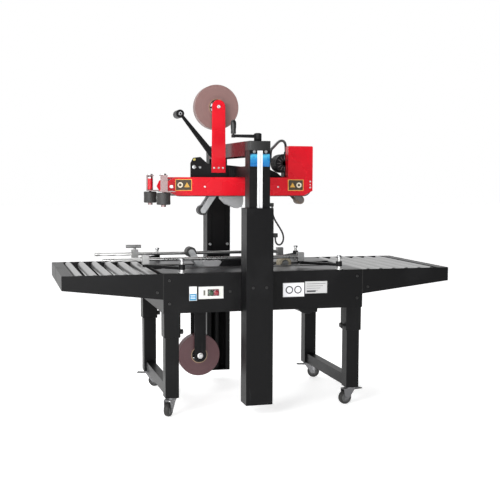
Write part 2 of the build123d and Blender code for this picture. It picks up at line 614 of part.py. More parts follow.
guard_hollow = [(-123, head_z + 26), (-123, head_z - 14), (-99, head_z - 38), (-53, head_z - 57),
                (-32, head_z - 50), (-27, head_z - 28), (-27, head_z + 26)]
guard_slot = block((-101, -52), (-27, 27), (head_z - 70, head_z))
guard = plate(guard_outline, -30, 30) - plate(guard_hollow, -27, 27) - guard_slot
guard_hanger = block((-90, -50), (cart_y[1], -cart_y[1]), (head_z + 30, head_z + 38))
pins = [through_rod(UPPER_FRONT_PIVOT, ARM_PIN_RADIUS, -cart_y[1]),
        through_rod(UPPER_REAR_PIVOT, ARM_PIN_RADIUS, -cart_y[1])]
head_ties = []
for x, z in ((-30, head_z + 95), (70, head_z + 95)):
    head_ties.append(through_rod((x, z), 7, -cart_y[1]))
add("upper_tape_frame", upper_frame, roll_arm, lever + lever_roller, guard + guard_hanger, pins, head_ties)
roller_arm("upper_front_arm", UPPER_FRONT_PIVOT, UPPER_FRONT_ROLLER, 27)
roller_arm("upper_rear_arm", UPPER_REAR_PIVOT, UPPER_REAR_ROLLER, 24)
wiping_roller("upper_front_roller", UPPER_FRONT_ROLLER, 23)
wiping_roller("upper_rear_roller", UPPER_REAR_ROLLER, 20)
tape_roll("upper_tape_roll", UPPER_ROLL_AXIS, UPPER_ROLL_RADIUS)

lower_outline = [(-262, deck_z - 40), (-262, deck_z - 150), (190, deck_z - 150), (190, deck_z - 26),
                 (150, deck_z - 4), (60, deck_z + 20), (-20, deck_z + 37), (-120, deck_z + 37),
                 (-150, deck_z - 4)]
bed_inner_y = BELT_INNER_Y - 4.5
lower_ties = [through_rod((x, deck_z - 120), 8, bed_inner_y) for x in (-60, 90)]
lower_plate = plate(lower_outline, *cart_y)
for tie in lower_ties:
    lower_plate -= tie
lower_frame = both_sides(lower_plate)
bracket_y = (-45.0, -41.0)
bracket_top = (LOWER_ROLL_AXIS[0], deck_z - 160)
lower_bracket = both_sides(link(bracket_top, LOWER_ROLL_AXIS, 54, 54, *bracket_y))
lower_spacer = block((bracket_top[0] - 22, bracket_top[0] + 21), (bracket_y[1], -bracket_y[1]),
                     (bracket_top[1] - 16, bracket_top[1] + 10))
lower_axle = through_rod(LOWER_ROLL_AXIS, ROLL_AXLE_RADIUS, 50)
lower_bracket_all = sum(lower_bracket, Part()) + lower_spacer + lower_axle
bracket_seat = both_sides(block((bracket_top[0] - 26, bracket_top[0] + 5), (cart_y[1], bracket_y[0]),
                                (bracket_top[1] + 10, bracket_top[1] + 30)))
lower_guard = block((-220, -125), (-30, 30), (deck_z - 44, deck_z + 26))
lower_guard = fillet(lower_guard.edges().filter_by(Axis.Y).sort_by(Axis.Z)[-2:], 14)
lower_guard -= block((-216, -129), (-27, 27), (deck_z - 61, deck_z + 22))
guard_foot = block((-150, -131), (cart_y[1], -cart_y[1]), (deck_z - 44, deck_z - 38))
lower_pins = [through_rod(LOWER_FRONT_PIVOT, ARM_PIN_RADIUS, -cart_y[1]),
              through_rod(LOWER_REAR_PIVOT, ARM_PIN_RADIUS, -cart_y[1])]
add("lower_tape_frame", lower_frame, lower_bracket_all, bracket_seat, lower_guard + guard_foot,
    lower_pins, lower_ties)
roller_arm("lower_front_arm", LOWER_FRONT_PIVOT, LOWER_FRONT_ROLLER, 27)
roller_arm("lower_rear_arm", LOWER_REAR_PIVOT, LOWER_REAR_ROLLER, 24)
wiping_roller("lower_front_roller", LOWER_FRONT_ROLLER, 24)
wiping_roller("lower_rear_roller", LOWER_REAR_ROLLER, 30)
tape_roll("lower_tape_roll", LOWER_ROLL_AXIS, LOWER_ROLL_RADIUS)

# ------------------------------------------------------------------ lower belts and their drive
lower_top = deck_z + LOWER_BELT_PROUD
add("lower_belts", both_sides(belt_loop(LOWER_BELT_ENDS, lower_top, *belt_y)))
bed_plates = []
for y_low in (-belt_outer_y - 4.5, -BELT_INNER_Y + 0.5):
    bed_plates += both_sides(block((-half_body + SHEET, half_body - SHEET), (y_low, y_low + 4),
                                   (lower_top - 66, lower_top - 12)))
lower_pulleys = []
for x in LOWER_BELT_ENDS:
    lower_pulleys += both_sides(pulley(x, lower_top, -belt_outer_y, -BELT_INNER_Y))
slide_beds = both_sides(block((-340, 340), (-belt_outer_y + 2, -BELT_INNER_Y - 2),
                              (lower_top - BELT_THICK - 10.3, lower_top - BELT_THICK - 0.3)))
gearbox = block((160, 250), (-190, -belt_outer_y - 4.5), (body_z + 2, lower_top - 20))
gearmotor = disc((205, body_z + 28), 55, -300, -190)
add("lower_belt_drive", bed_plates, lower_pulleys, slide_beds, gearbox + gearmotor)

# ------------------------------------------------------------------ carton guides
post_y = -panel_y + POST_INSET
rail_z = deck_z + RAIL_HEIGHT
posts = []
for x in POST_X:
    post = disc((x, post_y), 19, deck_z, deck_z + 4, "Z")
    post += disc((x, post_y), POST_RADIUS, deck_z, deck_z + POST_HEIGHT, "Z")
    post += disc((x, post_y), 11, deck_z + 4, deck_z + 14, "Z")
    posts += both_sides(post)
add("guide_posts", posts)

arm_low = deck_z + 15
swing = (-SWING_REACH, -RAIL_Y - post_y)
swing_length = hypot(*swing)
swing_heading = degrees(atan2(swing[1], swing[0]))


def swing_arm(post_x, far_clearance):
    """Flat arm from its bore on the post to its bore on the rail clamp's pin."""
    z = (arm_low, arm_low + 12)
    arm = block((0, swing_length), (-9, 9), z)
    arm += disc((0, 0), 14, arm_low, arm_low + 22, "Z")
    arm += disc((swing_length, 0), 13, *z, "Z")
    arm -= disc((0, 0), POST_RADIUS + RUNNING_CLEARANCE, 0, 1000, "Z")
    arm -= disc((swing_length, 0), CLAMP_PIN_RADIUS + far_clearance, 0, 1000, "Z")
    return Pos(post_x, post_y, 0) * Rot(0, 0, swing_heading) * arm


def guide_rail(t_knob):
    """Chrome rail in two clamp blocks; each block's pin drops into a swing arm."""
    rail = disc((-RAIL_Y, rail_z), RAIL_RADIUS, *RAIL_X, "X")
    half = CLAMP_SIDE / 2
    for x in POST_X:
        pin_x = x - SWING_REACH
        low = arm_low + 12 + SLIDE_GAP
        rail += block((pin_x - half, pin_x + half), (-RAIL_Y - half, -RAIL_Y + half), (low, rail_z + 20))
        rail += disc((pin_x, -RAIL_Y), CLAMP_PIN_RADIUS, arm_low - 2, low + 1, "Z")
    if t_knob:
        pin_x = POST_X[0] - SWING_REACH
        rail += disc((pin_x, -RAIL_Y), 6, rail_z + 19, rail_z + 36, "Z")
        rail += disc((-RAIL_Y, rail_z + 36), 8, pin_x - 42, pin_x + 30, "X")
    return rail


front_arms = [swing_arm(POST_X[0], RUNNING_CLEARANCE), swing_arm(POST_X[1], OPEN_PIVOT_CLEARANCE)]
add("front_infeed_arm", front_arms[0])
add("front_outfeed_arm", front_arms[1])
add("rear_infeed_arm", mirror(front_arms[0], about=Plane.XZ))
add("rear_outfeed_arm", mirror(front_arms[1], about=Plane.XZ))
add("front_guide_rail", guide_rail(False))
add("rear_guide_rail", mirror(guide_rail(True), about=Plane.XZ))

# ------------------------------------------------------------------ panel fittings
switch_plate = block((-304, -193), (-panel_y - 1.5, -panel_y), (deck_z - 113, deck_z - 59))
for button_x in BUTTON_X.values():
    switch_plate -= disc((button_x, deck_z - BUTTON_DROP), BUTTON_STEM_RADIUS + RUNNING_CLEARANCE,
                         -panel_y - 2, -panel_y + 1)
rocker = block((-284, -275), (-panel_y - 4.5, -panel_y - 1.5), (deck_z - 98, deck_z - 74))
data_plates = [block((-345, -311), (-panel_y - 1, -panel_y), (deck_z - 119, deck_z - 57)),
               block((78, 178), (-panel_y - 1, -panel_y), (deck_z - 116, deck_z - 53)),
               block((182, 286), (-panel_y - 1, -panel_y), (deck_z - 103, deck_z - 49))]
power_inlet = disc((330, deck_z - 60), 11, panel_y, panel_y + 14)
power_inlet -= disc((330, deck_z - 60), 5, panel_y + 2, panel_y + 15)
add("panel_plates", switch_plate, rocker, data_plates, power_inlet)

for name, button_x in BUTTON_X.items():
    centre = (button_x, deck_z - BUTTON_DROP)
    button = disc(centre, BUTTON_RADIUS, -panel_y - 13, -panel_y - 5.5)
    button += disc(centre, BUTTON_STEM_RADIUS, -panel_y - 6, -panel_y + 22)
    add(name, button)


def bolt_heads(radius, height, places):
    """Round bolt heads that sit on the faces of the frame; each place gives a face and a point."""
    heads = []
    for axis, centre, face in places:
        low, high = sorted((face, face + (height if face > 0 else -height)))
        heads.append(disc(centre, radius, low, high, axis))
    return heads


frame_places = []
for side in (-1, 1):
    frame_places.append(("Y", (-163, deck_z - 83), side * panel_y))
    for x in (-half_body + 26, half_body - 26):
        for drop in (30, 130):
            frame_places.append(("Y", (x, deck_z - drop), side * panel_y))
    for x in (-half_body - 26, half_body + 26):
        frame_places.append(("Y", (x, deck_z - 80), side * panel_y))
    for x in (MAST_X - 30, MAST_X + 30):
        frame_places.append(("Y", (x, deck_z - 60), side * (panel_y + MAST_DEPTH)))
add("frame_bolts", bolt_heads(6, 4, frame_places))

# ------------------------------------------------------------------ cables
conduit_route = [conduit_start]
for x, y, rise in ((181, -40, 226), (172, -56, 246), (150, -90, 254), (122, -138, 251), (94, -192, 241),
                   (66, -247, 227), (40, -300, 215), (20, -340, 207), (8, -368, 197), (3, conduit_end[1], 182)):
    conduit_route.append((x, y, head_z + rise))
conduit_route.append(conduit_end)
add("motor_conduit", cord(conduit_route, CONDUIT_DIAMETER))

loop_start = (mast_x[1] + 14, sum(LOOP_SLOT_Y) / 2, loop_clip_z)
loop_end = (mast_x[1] + 18, gland_y, gland_z)
loop_route = [loop_start]
for reach, y, rise in ((14, -354, -20), (24, -356, -52), (43, -360, -82), (60, -366, -112), (62, -372, -140),
                       (49, -380, -160), (30, -387, -162), (18, gland_y, -146)):
    loop_route.append((mast_x[1] + reach, y, mast_top_z + rise))
loop_route.append(loop_end)
add("lift_cable", cord(loop_route, LOOP_DIAMETER))

# ------------------------------------------------------------------ write the sub-parts
os.makedirs("parts", exist_ok=True)
for name, shape in NODES.items():
    export_step(shape, f"parts/{name}.step")
print(len(NODES), "sub-parts")
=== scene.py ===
import json
from math import cos, hypot, pi, radians, sin

import bmesh
import bpy
from mathutils import Matrix, Vector


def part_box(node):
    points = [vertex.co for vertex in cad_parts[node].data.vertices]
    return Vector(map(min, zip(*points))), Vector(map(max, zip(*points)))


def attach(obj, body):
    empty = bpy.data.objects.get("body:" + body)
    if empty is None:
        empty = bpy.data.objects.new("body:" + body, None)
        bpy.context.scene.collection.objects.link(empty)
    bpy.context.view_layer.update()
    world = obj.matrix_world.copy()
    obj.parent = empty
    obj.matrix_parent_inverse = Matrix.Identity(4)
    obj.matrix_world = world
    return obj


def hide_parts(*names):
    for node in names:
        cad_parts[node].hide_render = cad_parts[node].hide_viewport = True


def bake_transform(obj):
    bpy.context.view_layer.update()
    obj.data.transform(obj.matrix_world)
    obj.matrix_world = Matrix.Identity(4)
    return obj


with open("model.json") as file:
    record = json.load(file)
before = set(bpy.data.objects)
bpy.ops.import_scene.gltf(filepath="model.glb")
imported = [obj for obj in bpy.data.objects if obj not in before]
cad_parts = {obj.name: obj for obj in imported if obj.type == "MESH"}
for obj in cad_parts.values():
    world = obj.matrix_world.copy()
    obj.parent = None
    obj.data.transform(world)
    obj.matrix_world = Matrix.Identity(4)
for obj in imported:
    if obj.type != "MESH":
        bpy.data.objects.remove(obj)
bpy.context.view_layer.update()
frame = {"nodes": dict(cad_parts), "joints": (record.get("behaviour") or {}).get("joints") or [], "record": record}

# ---------------------------------------------------------------- room and camera
# A pale floor in soft studio light, with the camera at standing height a little to
# the infeed side of the crank, as a catalogue picture is taken.
scene = bpy.context.scene
scene.view_settings.view_transform = "Standard"

camera_data = bpy.data.cameras.new("camera")
camera_data.lens = 66.04
camera_data.sensor_width = 36
camera_data.clip_end = 100
camera = bpy.data.objects.new("camera", camera_data)
scene.collection.objects.link(camera)
yaw, pitch, roll = radians(15.538), radians(4.450), radians(0.228)
camera.matrix_world = (Matrix.Translation((-1.1449, -4.1854, 1.0315)) @ Matrix.Rotation(-yaw, 4, "Z")
                       @ Matrix.Rotation(pi / 2 - pitch, 4, "X") @ Matrix.Rotation(roll, 4, "Z"))
scene.camera = camera

world = bpy.data.worlds.new("studio")
world.use_nodes = True
room = world.node_tree
direction = room.nodes.new("ShaderNodeTexCoord")
part = room.nodes.new("ShaderNodeSeparateXYZ")
room.links.new(direction.outputs["Generated"], part.inputs["Vector"])
across = room.nodes.new("ShaderNodeMath")
across.operation = "MULTIPLY_ADD"
room.links.new(part.outputs["X"], across.inputs[0])
brighter_towards_infeed = -0.8
across.inputs[1].default_value = brighter_towards_infeed
room.links.new(part.outputs["Y"], across.inputs[2])
seen = room.nodes.new("ShaderNodeLightPath")
either = room.nodes.new("ShaderNodeMath")
either.operation = "MAXIMUM"
room.links.new(across.outputs[0], either.inputs[0])
room.links.new(seen.outputs["Is Camera Ray"], either.inputs[1])
fade = room.nodes.new("ShaderNodeValToRGB")
room.links.new(either.outputs[0], fade.inputs["Fac"])
shade, light = fade.color_ramp.elements
dark_wall = 0.05
shade.position, shade.color = 0.0, (dark_wall, dark_wall, dark_wall, 1)
light.position, light.color = 0.45, (1, 1, 1, 1)
room.links.new(fade.outputs["Color"], room.nodes["Background"].inputs["Color"])
scene.world = world


def soft_light(name, place, aim, size, power):
    """A square soft box that points at a place on the machine."""
    data = bpy.data.lights.new(name, "AREA")
    data.size = size
    data.energy = power
    lamp = bpy.data.objects.new(name, data)
    lamp.location = place
    lamp.rotation_euler = (Vector(aim) - Vector(place)).to_track_quat("-Z", "Y").to_euler()
    scene.collection.objects.link(lamp)


soft_light("key_light", (-3.4, -3.2, 2.2), (-0.3, 0, 0.7), 2.2, 170)
soft_light("front_light", (-1.5, -6.0, 1.1), (-0.6, 0, 0.8), 3.0, 200)
soft_light("top_light", (-0.4, 0.6, 4.2), (0, 0, 0.7), 2.6, 45)


# ---------------------------------------------------------------- cables
# A black conduit from the motor to the front column, and a black lead that hangs in a
# loop between the column's clip and the gland on the mast, so that the head can travel.
class Wire:
    """A value in the shader nodes; arithmetic on it adds Math nodes."""

    def __init__(self, finish, socket):
        self.finish = finish
        self.socket = socket

    def math(self, operation, *values):
        return self.finish.node("ShaderNodeMath", {"operation": operation}, dict(enumerate(values)))

    def __add__(self, other):
        return self.math("ADD", self, other)

    def __sub__(self, other):
        return self.math("SUBTRACT", self, other)

    def __rsub__(self, other):
        return self.math("SUBTRACT", other, self)

    def __mul__(self, other):
        return self.math("MULTIPLY", self, other)

    def __gt__(self, other):
        return self.math("GREATER_THAN", self, other)

    def __lt__(self, other):
        return self.math("LESS_THAN", self, other)

    __radd__ = __add__
    __rmul__ = __mul__


class Finish:
    """One finish: a Principled shader, with its steady numbers set on the shader itself."""

    def __init__(self, name, color, roughness, metallic=0.0, **steady):
        self.material = bpy.data.materials.new(name)
        self.material.use_nodes = True
        self.tree = self.material.node_tree
        self.shader = self.tree.nodes["Principled BSDF"]
        self.shader.inputs["Base Color"].default_value = (*color, 1)
        self.shader.inputs["Roughness"].default_value = roughness
        self.shader.inputs["Metallic"].default_value = metallic
        for key, value in steady.items():
            self.shader.inputs[key.replace("_", " ")].default_value = value

    def node(self, kind, settings, inputs, output=0):
        node = self.tree.nodes.new(kind)
        for key, value in settings.items():
            if key == "stops":
                ramp = node.color_ramp
                while len(ramp.elements) < len(value):
                    ramp.elements.new(0.5)
                for element, (position, color) in zip(ramp.elements, value):
                    element.position = position
                    element.color = (*color, 1)
            else:
                setattr(node, key, value)
        for key, value in inputs.items():
            if isinstance(value, Wire):
                self.tree.links.new(value.socket, node.inputs[key])
            else:
                node.inputs[key].default_value = value
        return Wire(self, node.outputs[output])

    def place(self):
        return self.node("ShaderNodeTexCoord", {}, {}, "Object")

    def axis(self, letter):
        return self.node("ShaderNodeSeparateXYZ", {}, {0: self.place()}, letter)

    def noise(self, scale, detail=4.0, stretch=(1, 1, 1)):
        place = self.node("ShaderNodeMapping", {}, {"Vector": self.place(), "Scale": stretch})
        return self.node("ShaderNodeTexNoise", {}, {"Vector": place, "Scale": scale, "Detail": detail})

    def ramp(self, value, *stops):
        return self.node("ShaderNodeValToRGB", {"stops": stops}, {0: value})

    def mix(self, mask, first, second):
        inputs = {0: mask, 6: first, 7: second}
        for key in (6, 7):
            if not isinstance(inputs[key], Wire):
                inputs[key] = (*inputs[key], 1)
        return self.node("ShaderNodeMix", {"data_type": "RGBA"}, inputs, 2)

    def clamp(self, value):
        return self.node("ShaderNodeClamp", {}, {0: value})

    def bump(self, height, strength, distance):
        return self.node("ShaderNodeBump", {}, {"Height": height, "Strength": strength, "Distance": distance})

    def feed(self, **links):
        for key, value in links.items():
            self.tree.links.new(value.socket, self.shader.inputs[key.replace("_", " ")])
        return self


def sheath():
    """Flexible black sheath with a faint dusty bloom."""
    finish = Finish("cable_sheath", (0.02, 0.02, 0.022), 0.5)
    dust = finish.noise(60)
    finish.feed(Base_Color=finish.mix(dust, (0.012, 0.012, 0.013), (0.04, 0.04, 0.042)),
                Roughness=dust * 0.2 + 0.38,
                Normal=finish.bump(finish.noise(1500, 2.0), 0.15, 0.0004))
    return finish


def cord_curve(name, route, diameter):
    """A smooth round cord along its route; diameter 0 gives its bare line."""
    curve = bpy.data.curves.new(name, "CURVE")
    curve.dimensions = "3D"
    curve.bevel_depth = diameter / 2
    curve.bevel_resolution = 5
    curve.resolution_u = 16
    spline = curve.splines.new("NURBS")
    spline.points.add(len(route) - 1)
    for point, place in zip(spline.points, route):
        point.co = (*place, 1)
    spline.order_u = 3
    spline.use_endpoint_u = True
    cord = bpy.data.objects.new(name, curve)
    scene.collection.objects.link(cord)
    return cord


sheath_finish = sheath()
conduit_route = [(0.181, -0.040, 1.158), (0.181, -0.040, 1.180), (0.172, -0.056, 1.200),
                 (0.150, -0.090, 1.208), (0.122, -0.138, 1.205), (0.094, -0.192, 1.195),
                 (0.066, -0.247, 1.181), (0.040, -0.300, 1.169), (0.020, -0.340, 1.161),
                 (0.008, -0.368, 1.151), (0.003, -0.379, 1.136), (0.003, -0.379, 1.118)]
conduit = cord_curve("motor_conduit_sheath", conduit_route, 0.012)
conduit.data.use_fill_caps = True
conduit.data.materials.append(sheath_finish.material)
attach(conduit, "head")
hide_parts("motor_conduit")

loop_route = [(0.020, -0.354, 0.910), (0.020, -0.354, 0.886), (0.030, -0.356, 0.854), (0.049, -0.360, 0.824),
              (0.066, -0.366, 0.794), (0.068, -0.372, 0.766), (0.055, -0.380, 0.746), (0.036, -0.387, 0.744),
              (0.024, -0.390, 0.760), (0.024, -0.390, 0.778)]
bare_line = cord_curve("loop_line", loop_route, 0)
loop_path = [tuple(vertex.co) for vertex in bpy.data.meshes.new_from_object(bare_line).vertices]
bpy.data.objects.remove(bare_line)
loop_curve = cord_curve("loop_curve", loop_route, 0.008)
loop_curve.data.use_fill_caps = True
loop = bpy.data.objects.new("lift_cable_sheath", bpy.data.meshes.new_from_object(loop_curve))
bpy.data.objects.remove(loop_curve)
scene.collection.objects.link(loop)
loop.data.materials.clear()
loop.data.materials.append(sheath_finish.material)
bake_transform(loop)
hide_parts("lift_cable")


# ---------------------------------------------------------------- folded and welded black steel
# The table body, the roller extensions, the legs and the masts are folded sheet and
# square tube under a fine-textured charcoal powder coat, with worn zinc hardware.
def powder_black(name="black_powder", tone=0.0048, sheen=0.40):
    """Textured powder coat: fine orange peel, rubbed patches and a little settled dust."""
    finish = Finish(name, (tone, tone, tone * 1.08), sheen, Specular_IOR_Level=0.11)
    rubbed = finish.ramp(finish.noise(7, 6.0), (0.52, (0, 0, 0)), (0.78, (1, 1, 1)))
    grain = finish.noise(900, 2.0)
    color = finish.mix(rubbed, (tone, tone, tone * 1.08), (tone * 1.7, tone * 1.7, tone * 1.8))
    scratch = finish.ramp(finish.noise(38, 8.0, (1, 1, 0.08)), (0.69, (0, 0, 0)), (0.74, (1, 1, 1)))
    color = finish.mix(scratch * 0.12, color, (0.10, 0.10, 0.11))
    finish.feed(Base_Color=color, Roughness=rubbed * 0.12 + grain * 0.10 + (sheen - 0.08),
                Normal=finish.bump(grain + scratch * -0.6, 0.22, 0.0005))
    return finish


def bright_zinc(name="zinc_plate", color=(0.46, 0.47, 0.48), roughness=0.32, grain=(1, 1, 1)):
    """Zinc-plated steel: faint spangle, drawn grain and dull handling marks."""
    finish = Finish(name, color, roughness, 1.0)
    spangle = finish.noise(120, 3.0, grain)
    dull = finish.noise(11, 5.0)
    finish.feed(Base_Color=finish.mix(dull, tuple(c * 0.78 for c in color), color),
                Roughness=spangle * 0.16 + dull * 0.12 + (roughness - 0.12),
                Normal=finish.bump(spangle, 0.10, 0.0003))
    return finish


def black_plastic(name="black_plastic", tone=0.008):
    """Moulded plastic with a fine spark-eroded grain."""
    finish = Finish(name, (tone, tone, tone), 0.42, Specular_IOR_Level=0.4)
    finish.feed(Roughness=finish.noise(35) * 0.2 + 0.32,
                Normal=finish.bump(finish.noise(1600, 2.0), 0.18, 0.0003),
                Base_Color=finish.mix(finish.noise(20), (tone * 0.8,) * 3, (tone * 1.5,) * 3))
    return finish


def islands(bm):
    """The separate solids of a mesh, as lists of faces."""
    left = set(bm.faces)
    found = []
    while left:
        front = [left.pop()]
        group = list(front)
        while front:
            for edge in front.pop().edges:
                for face in edge.link_faces:
                    if face in left:
                        left.remove(face)
                        front.append(face)
                        group.append(face)
        found.append(group)
    return found


def span(faces):
    """Lowest and highest corner of some faces."""
    places = [vertex.co for face in faces for vertex in face.verts]
    low = Vector([min(place[i] for place in places) for i in range(3)])
    high = Vector([max(place[i] for place in places) for i in range(3)])
    return low, high


def merged_copy(node):
    """A copy of a CAD sub-part's mesh with its loose triangles joined."""
    bm = bmesh.new()
    bm.from_mesh(frame["nodes"][node].data)
    bmesh.ops.remove_doubles(bm, verts=bm.verts, dist=0.000002)
    bmesh.ops.dissolve_limit(bm, angle_limit=radians(0.5), verts=bm.verts, edges=bm.edges)
    return bm


def solids_of(node):
    """The (low, high) corners of each solid of a CAD sub-part."""
    bm = merged_copy(node)
    boxes = [span(group) for group in islands(bm)]
    bm.free()
    return sorted(boxes, key=lambda pair: tuple(round(c, 4) for c in pair[0]))


def finished(name, bm, finishes, body, stands_for=(), edge=0.0, angle=38):
    """Turns a bmesh into a piece: shaded by angle, edges eased, finish and body given."""
    mesh = bpy.data.meshes.new(name)
    for face in bm.faces:
        face.smooth = True
    bm.to_mesh(mesh)
    bm.free()
    mesh.set_sharp_from_angle(angle=radians(angle))
    for finish in finishes if isinstance(finishes, (list, tuple)) else [finishes]:
        mesh.materials.append(finish.material)
    piece = bpy.data.objects.new(name, mesh)
    scene.collection.objects.link(piece)
    if edge:
        ease = piece.modifiers.new("eased_edges", "BEVEL")
        ease.limit_method = "ANGLE"
        ease.angle_limit = radians(angle)
        ease.width = edge
        ease.segments = 2
        ease.harden_normals = True
    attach(piece, body)
    if stands_for:
        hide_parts(*stands_for)
    return piece


body_of = {node: body for body, nodes in frame["record"]["behaviour"]["bodies"].items() for node in nodes}


def dressed(node, finishes, pick=None, edge=0.0007, ending="shell", angle=38):
    """A CAD sub-part with eased edges; pick gives the finish number of each of its solids."""
    bm = merged_copy(node)
    if pick:
        for group in islands(bm):
            number = pick(*span(group))
            for face in group:
                face.material_index = number
    return finished(f"{node}_{ending}", bm, finishes, body_of[node], [node], edge, angle)


black = powder_black()
zinc = bright_zinc()
dark_plastic = black_plastic()


dressed("table_body", [black], edge=0.0011)
dressed("table_deck", [powder_black("deck_powder", 0.045, 0.34)], edge=0.0006)
dressed("extension_frames", [black], edge=0.0009)
dressed("telescopic_legs", [black], edge=0.0022)
dressed("leg_sleeves", [black, dark_plastic], lambda low, high: int(high.z - low.z < 0.1), edge=0.0018)


def mast_pick(low, high):
    """Sleeves and nut posts are coated; the glide pads and the gland are plastic."""
    size = high - low
    return int(size.z < 0.045 and size.x < 0.030)


dressed("mast_sleeves", [black, dark_plastic], mast_pick, edge=0.0014)


# ---------------------------------------------------------------- bolts on the frame
# Zinc socket-head screws that hold the panels, extensions and masts together.
def box_into(bm, low, high):
    """Adds a plain block between two corners."""
    low, high = Vector(low), Vector(high)
    middle = Matrix.Translation((low + high) / 2)
    size = Matrix.Diagonal((*(high - low), 1))
    return bmesh.ops.create_cube(bm, size=1, matrix=middle @ size)["verts"]


AXES = {"X": Vector((1, 0, 0)), "Y": Vector((0, 1, 0)), "Z": Vector((0, 0, 1))}


def turned(bm, profile, centre, axis="Y", steps=32):
    """Spins a (radius, along) outline about a line through centre, as on a lathe."""
    along = AXES[axis]
    across = AXES["Z" if axis == "X" else "X"]
    verts = [bm.verts.new(Vector(centre) + across * r + along * a) for r, a in profile]
    edges = [bm.edges.new(pair) for pair in zip(verts, verts[1:])]
    if profile[0][0] > 0 and profile[-1][0] > 0 and profile[0] != profile[-1]:
        edges.append(bm.edges.new((verts[-1], verts[0])))
    bmesh.ops.spin(bm, geom=verts + edges, cent=centre, axis=along, angle=2 * pi, steps=steps,
                   use_merge=True)
    bmesh.ops.remove_doubles(bm, verts=bm.verts, dist=0.000002)
    bmesh.ops.recalc_face_normals(bm, faces=bm.faces)


def screw_into(bm, centre, axis, radius, height):
    """A socket-head screw whose head stands height proud of centre along the axis."""
    out = height
    turned(bm, [(0, out * 0.35), (radius * 0.45, out * 0.35), (radius * 0.5, out), (radius * 0.86, out),
                (radius, out * 0.78), (radius, 0), (0, 0)], centre, axis, 16)


bm = bmesh.new()
for low, high in solids_of("frame_bolts"):
    middle = (low + high) / 2
    outward = 1 if middle.y > 0 else -1
    foot = Vector((middle.x, low.y if outward > 0 else high.y, middle.z))
    screw_into(bm, foot, "Y", 0.006, outward * 0.004)
finished("frame_screws", bm, dark_plastic, "base", ["frame_bolts"])
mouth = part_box("table_body")[1][1]
mast_x = sorted(p[0].x for p in solids_of("mast_sleeves") if (p[1] - p[0]).z > 0.6)[0]
bm = bmesh.new()
for x in (mast_x + 0.015, mast_x + 0.105):
    screw_into(bm, (x, mouth + 0.0003, 0.700), "Y", 0.0075, -0.004)
    screw_into(bm, (x, -mouth - 0.0003, 0.700), "Y", 0.0075, 0.004)
finished("mast_lip_screws", bm, zinc, "base")


# ---------------------------------------------------------------- panel seams
# The dark joint where each roller extension is bolted on to the end of the table body.
seam = Finish("seam_shadow", (0.002, 0.002, 0.002), 0.8)
seam.feed(Roughness=seam.noise(40) * 0.2 + 0.7,
          Base_Color=seam.mix(seam.noise(30), (0.0015, 0.0015, 0.0015), (0.006, 0.0055, 0.005)))
body_low, body_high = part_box("table_body")
bm = bmesh.new()
for x in (body_low[0], body_high[0]):
    for y in (body_low[1], body_high[1]):
        box_into(bm, (x - 0.0016, y - 0.0003, body_high[2] - 0.1108),
                 (x + 0.0016, y + 0.0003, body_high[2] - 0.0004))
finished("panel_seams", bm, seam, "base")

# ---------------------------------------------------------------- conveyor rollers
# Zinc-plated tubes with pressed bearing ends; each spins on its own axle stubs.
roller_finish = bright_zinc("roller_zinc", (0.42, 0.42, 0.42), 0.34, (1, 6, 1))
for side in ("infeed", "outfeed"):
    for number in range(1, 7):
        node = f"{side}_roller_{number}"
        low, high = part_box(node)
        centre = ((low[0] + high[0]) / 2, 0, (low[2] + high[2]) / 2)
        reach = high[1]
        end = reach - 0.0175
        radius = (high[2] - low[2]) / 2
        bm = bmesh.new()
        outline = [(0, -reach), (0.005, -reach), (0.005, -end + 0.004), (0.0085, -end + 0.004),
                   (0.0085, -end + 0.0055), (radius - 0.0045, -end + 0.0035), (radius - 0.003, -end),
                   (radius - 0.001, -end), (radius, -end + 0.001)]
        outline += [(r, -a) for r, a in reversed(outline)]
        turned(bm, outline, centre, "Y", 40)
        finished(f"{node}_tube", bm, roller_finish, body_of[node], [node])


# ---------------------------------------------------------------- casters
# Dark pressed forks with a brake pedal, carrying black rubber-tyred wheels with dark hubs.
def rubber(name, tone=0.018, roughness=0.62):
    """Matt moulded rubber with scuffs and a fine grain."""
    finish = Finish(name, (tone, tone, tone), roughness)
    scuff = finish.noise(45, 6.0)
    finish.feed(Base_Color=finish.mix(scuff, (tone * 0.7,) * 3, (tone * 2.4, tone * 2.3, tone * 2.2)),
                Roughness=scuff * 0.25 + (roughness - 0.1),
                Normal=finish.bump(finish.noise(700, 3.0), 0.25, 0.0004))
    return finish


def grey_plastic(name, color, roughness=0.4):
    finish = Finish(name, color, roughness)
    finish.feed(Base_Color=finish.mix(finish.noise(25), tuple(c * 0.82 for c in color), color),
                Roughness=finish.noise(70) * 0.18 + (roughness - 0.08),
                Normal=finish.bump(finish.noise(1300, 2.0), 0.12, 0.0003))
    return finish


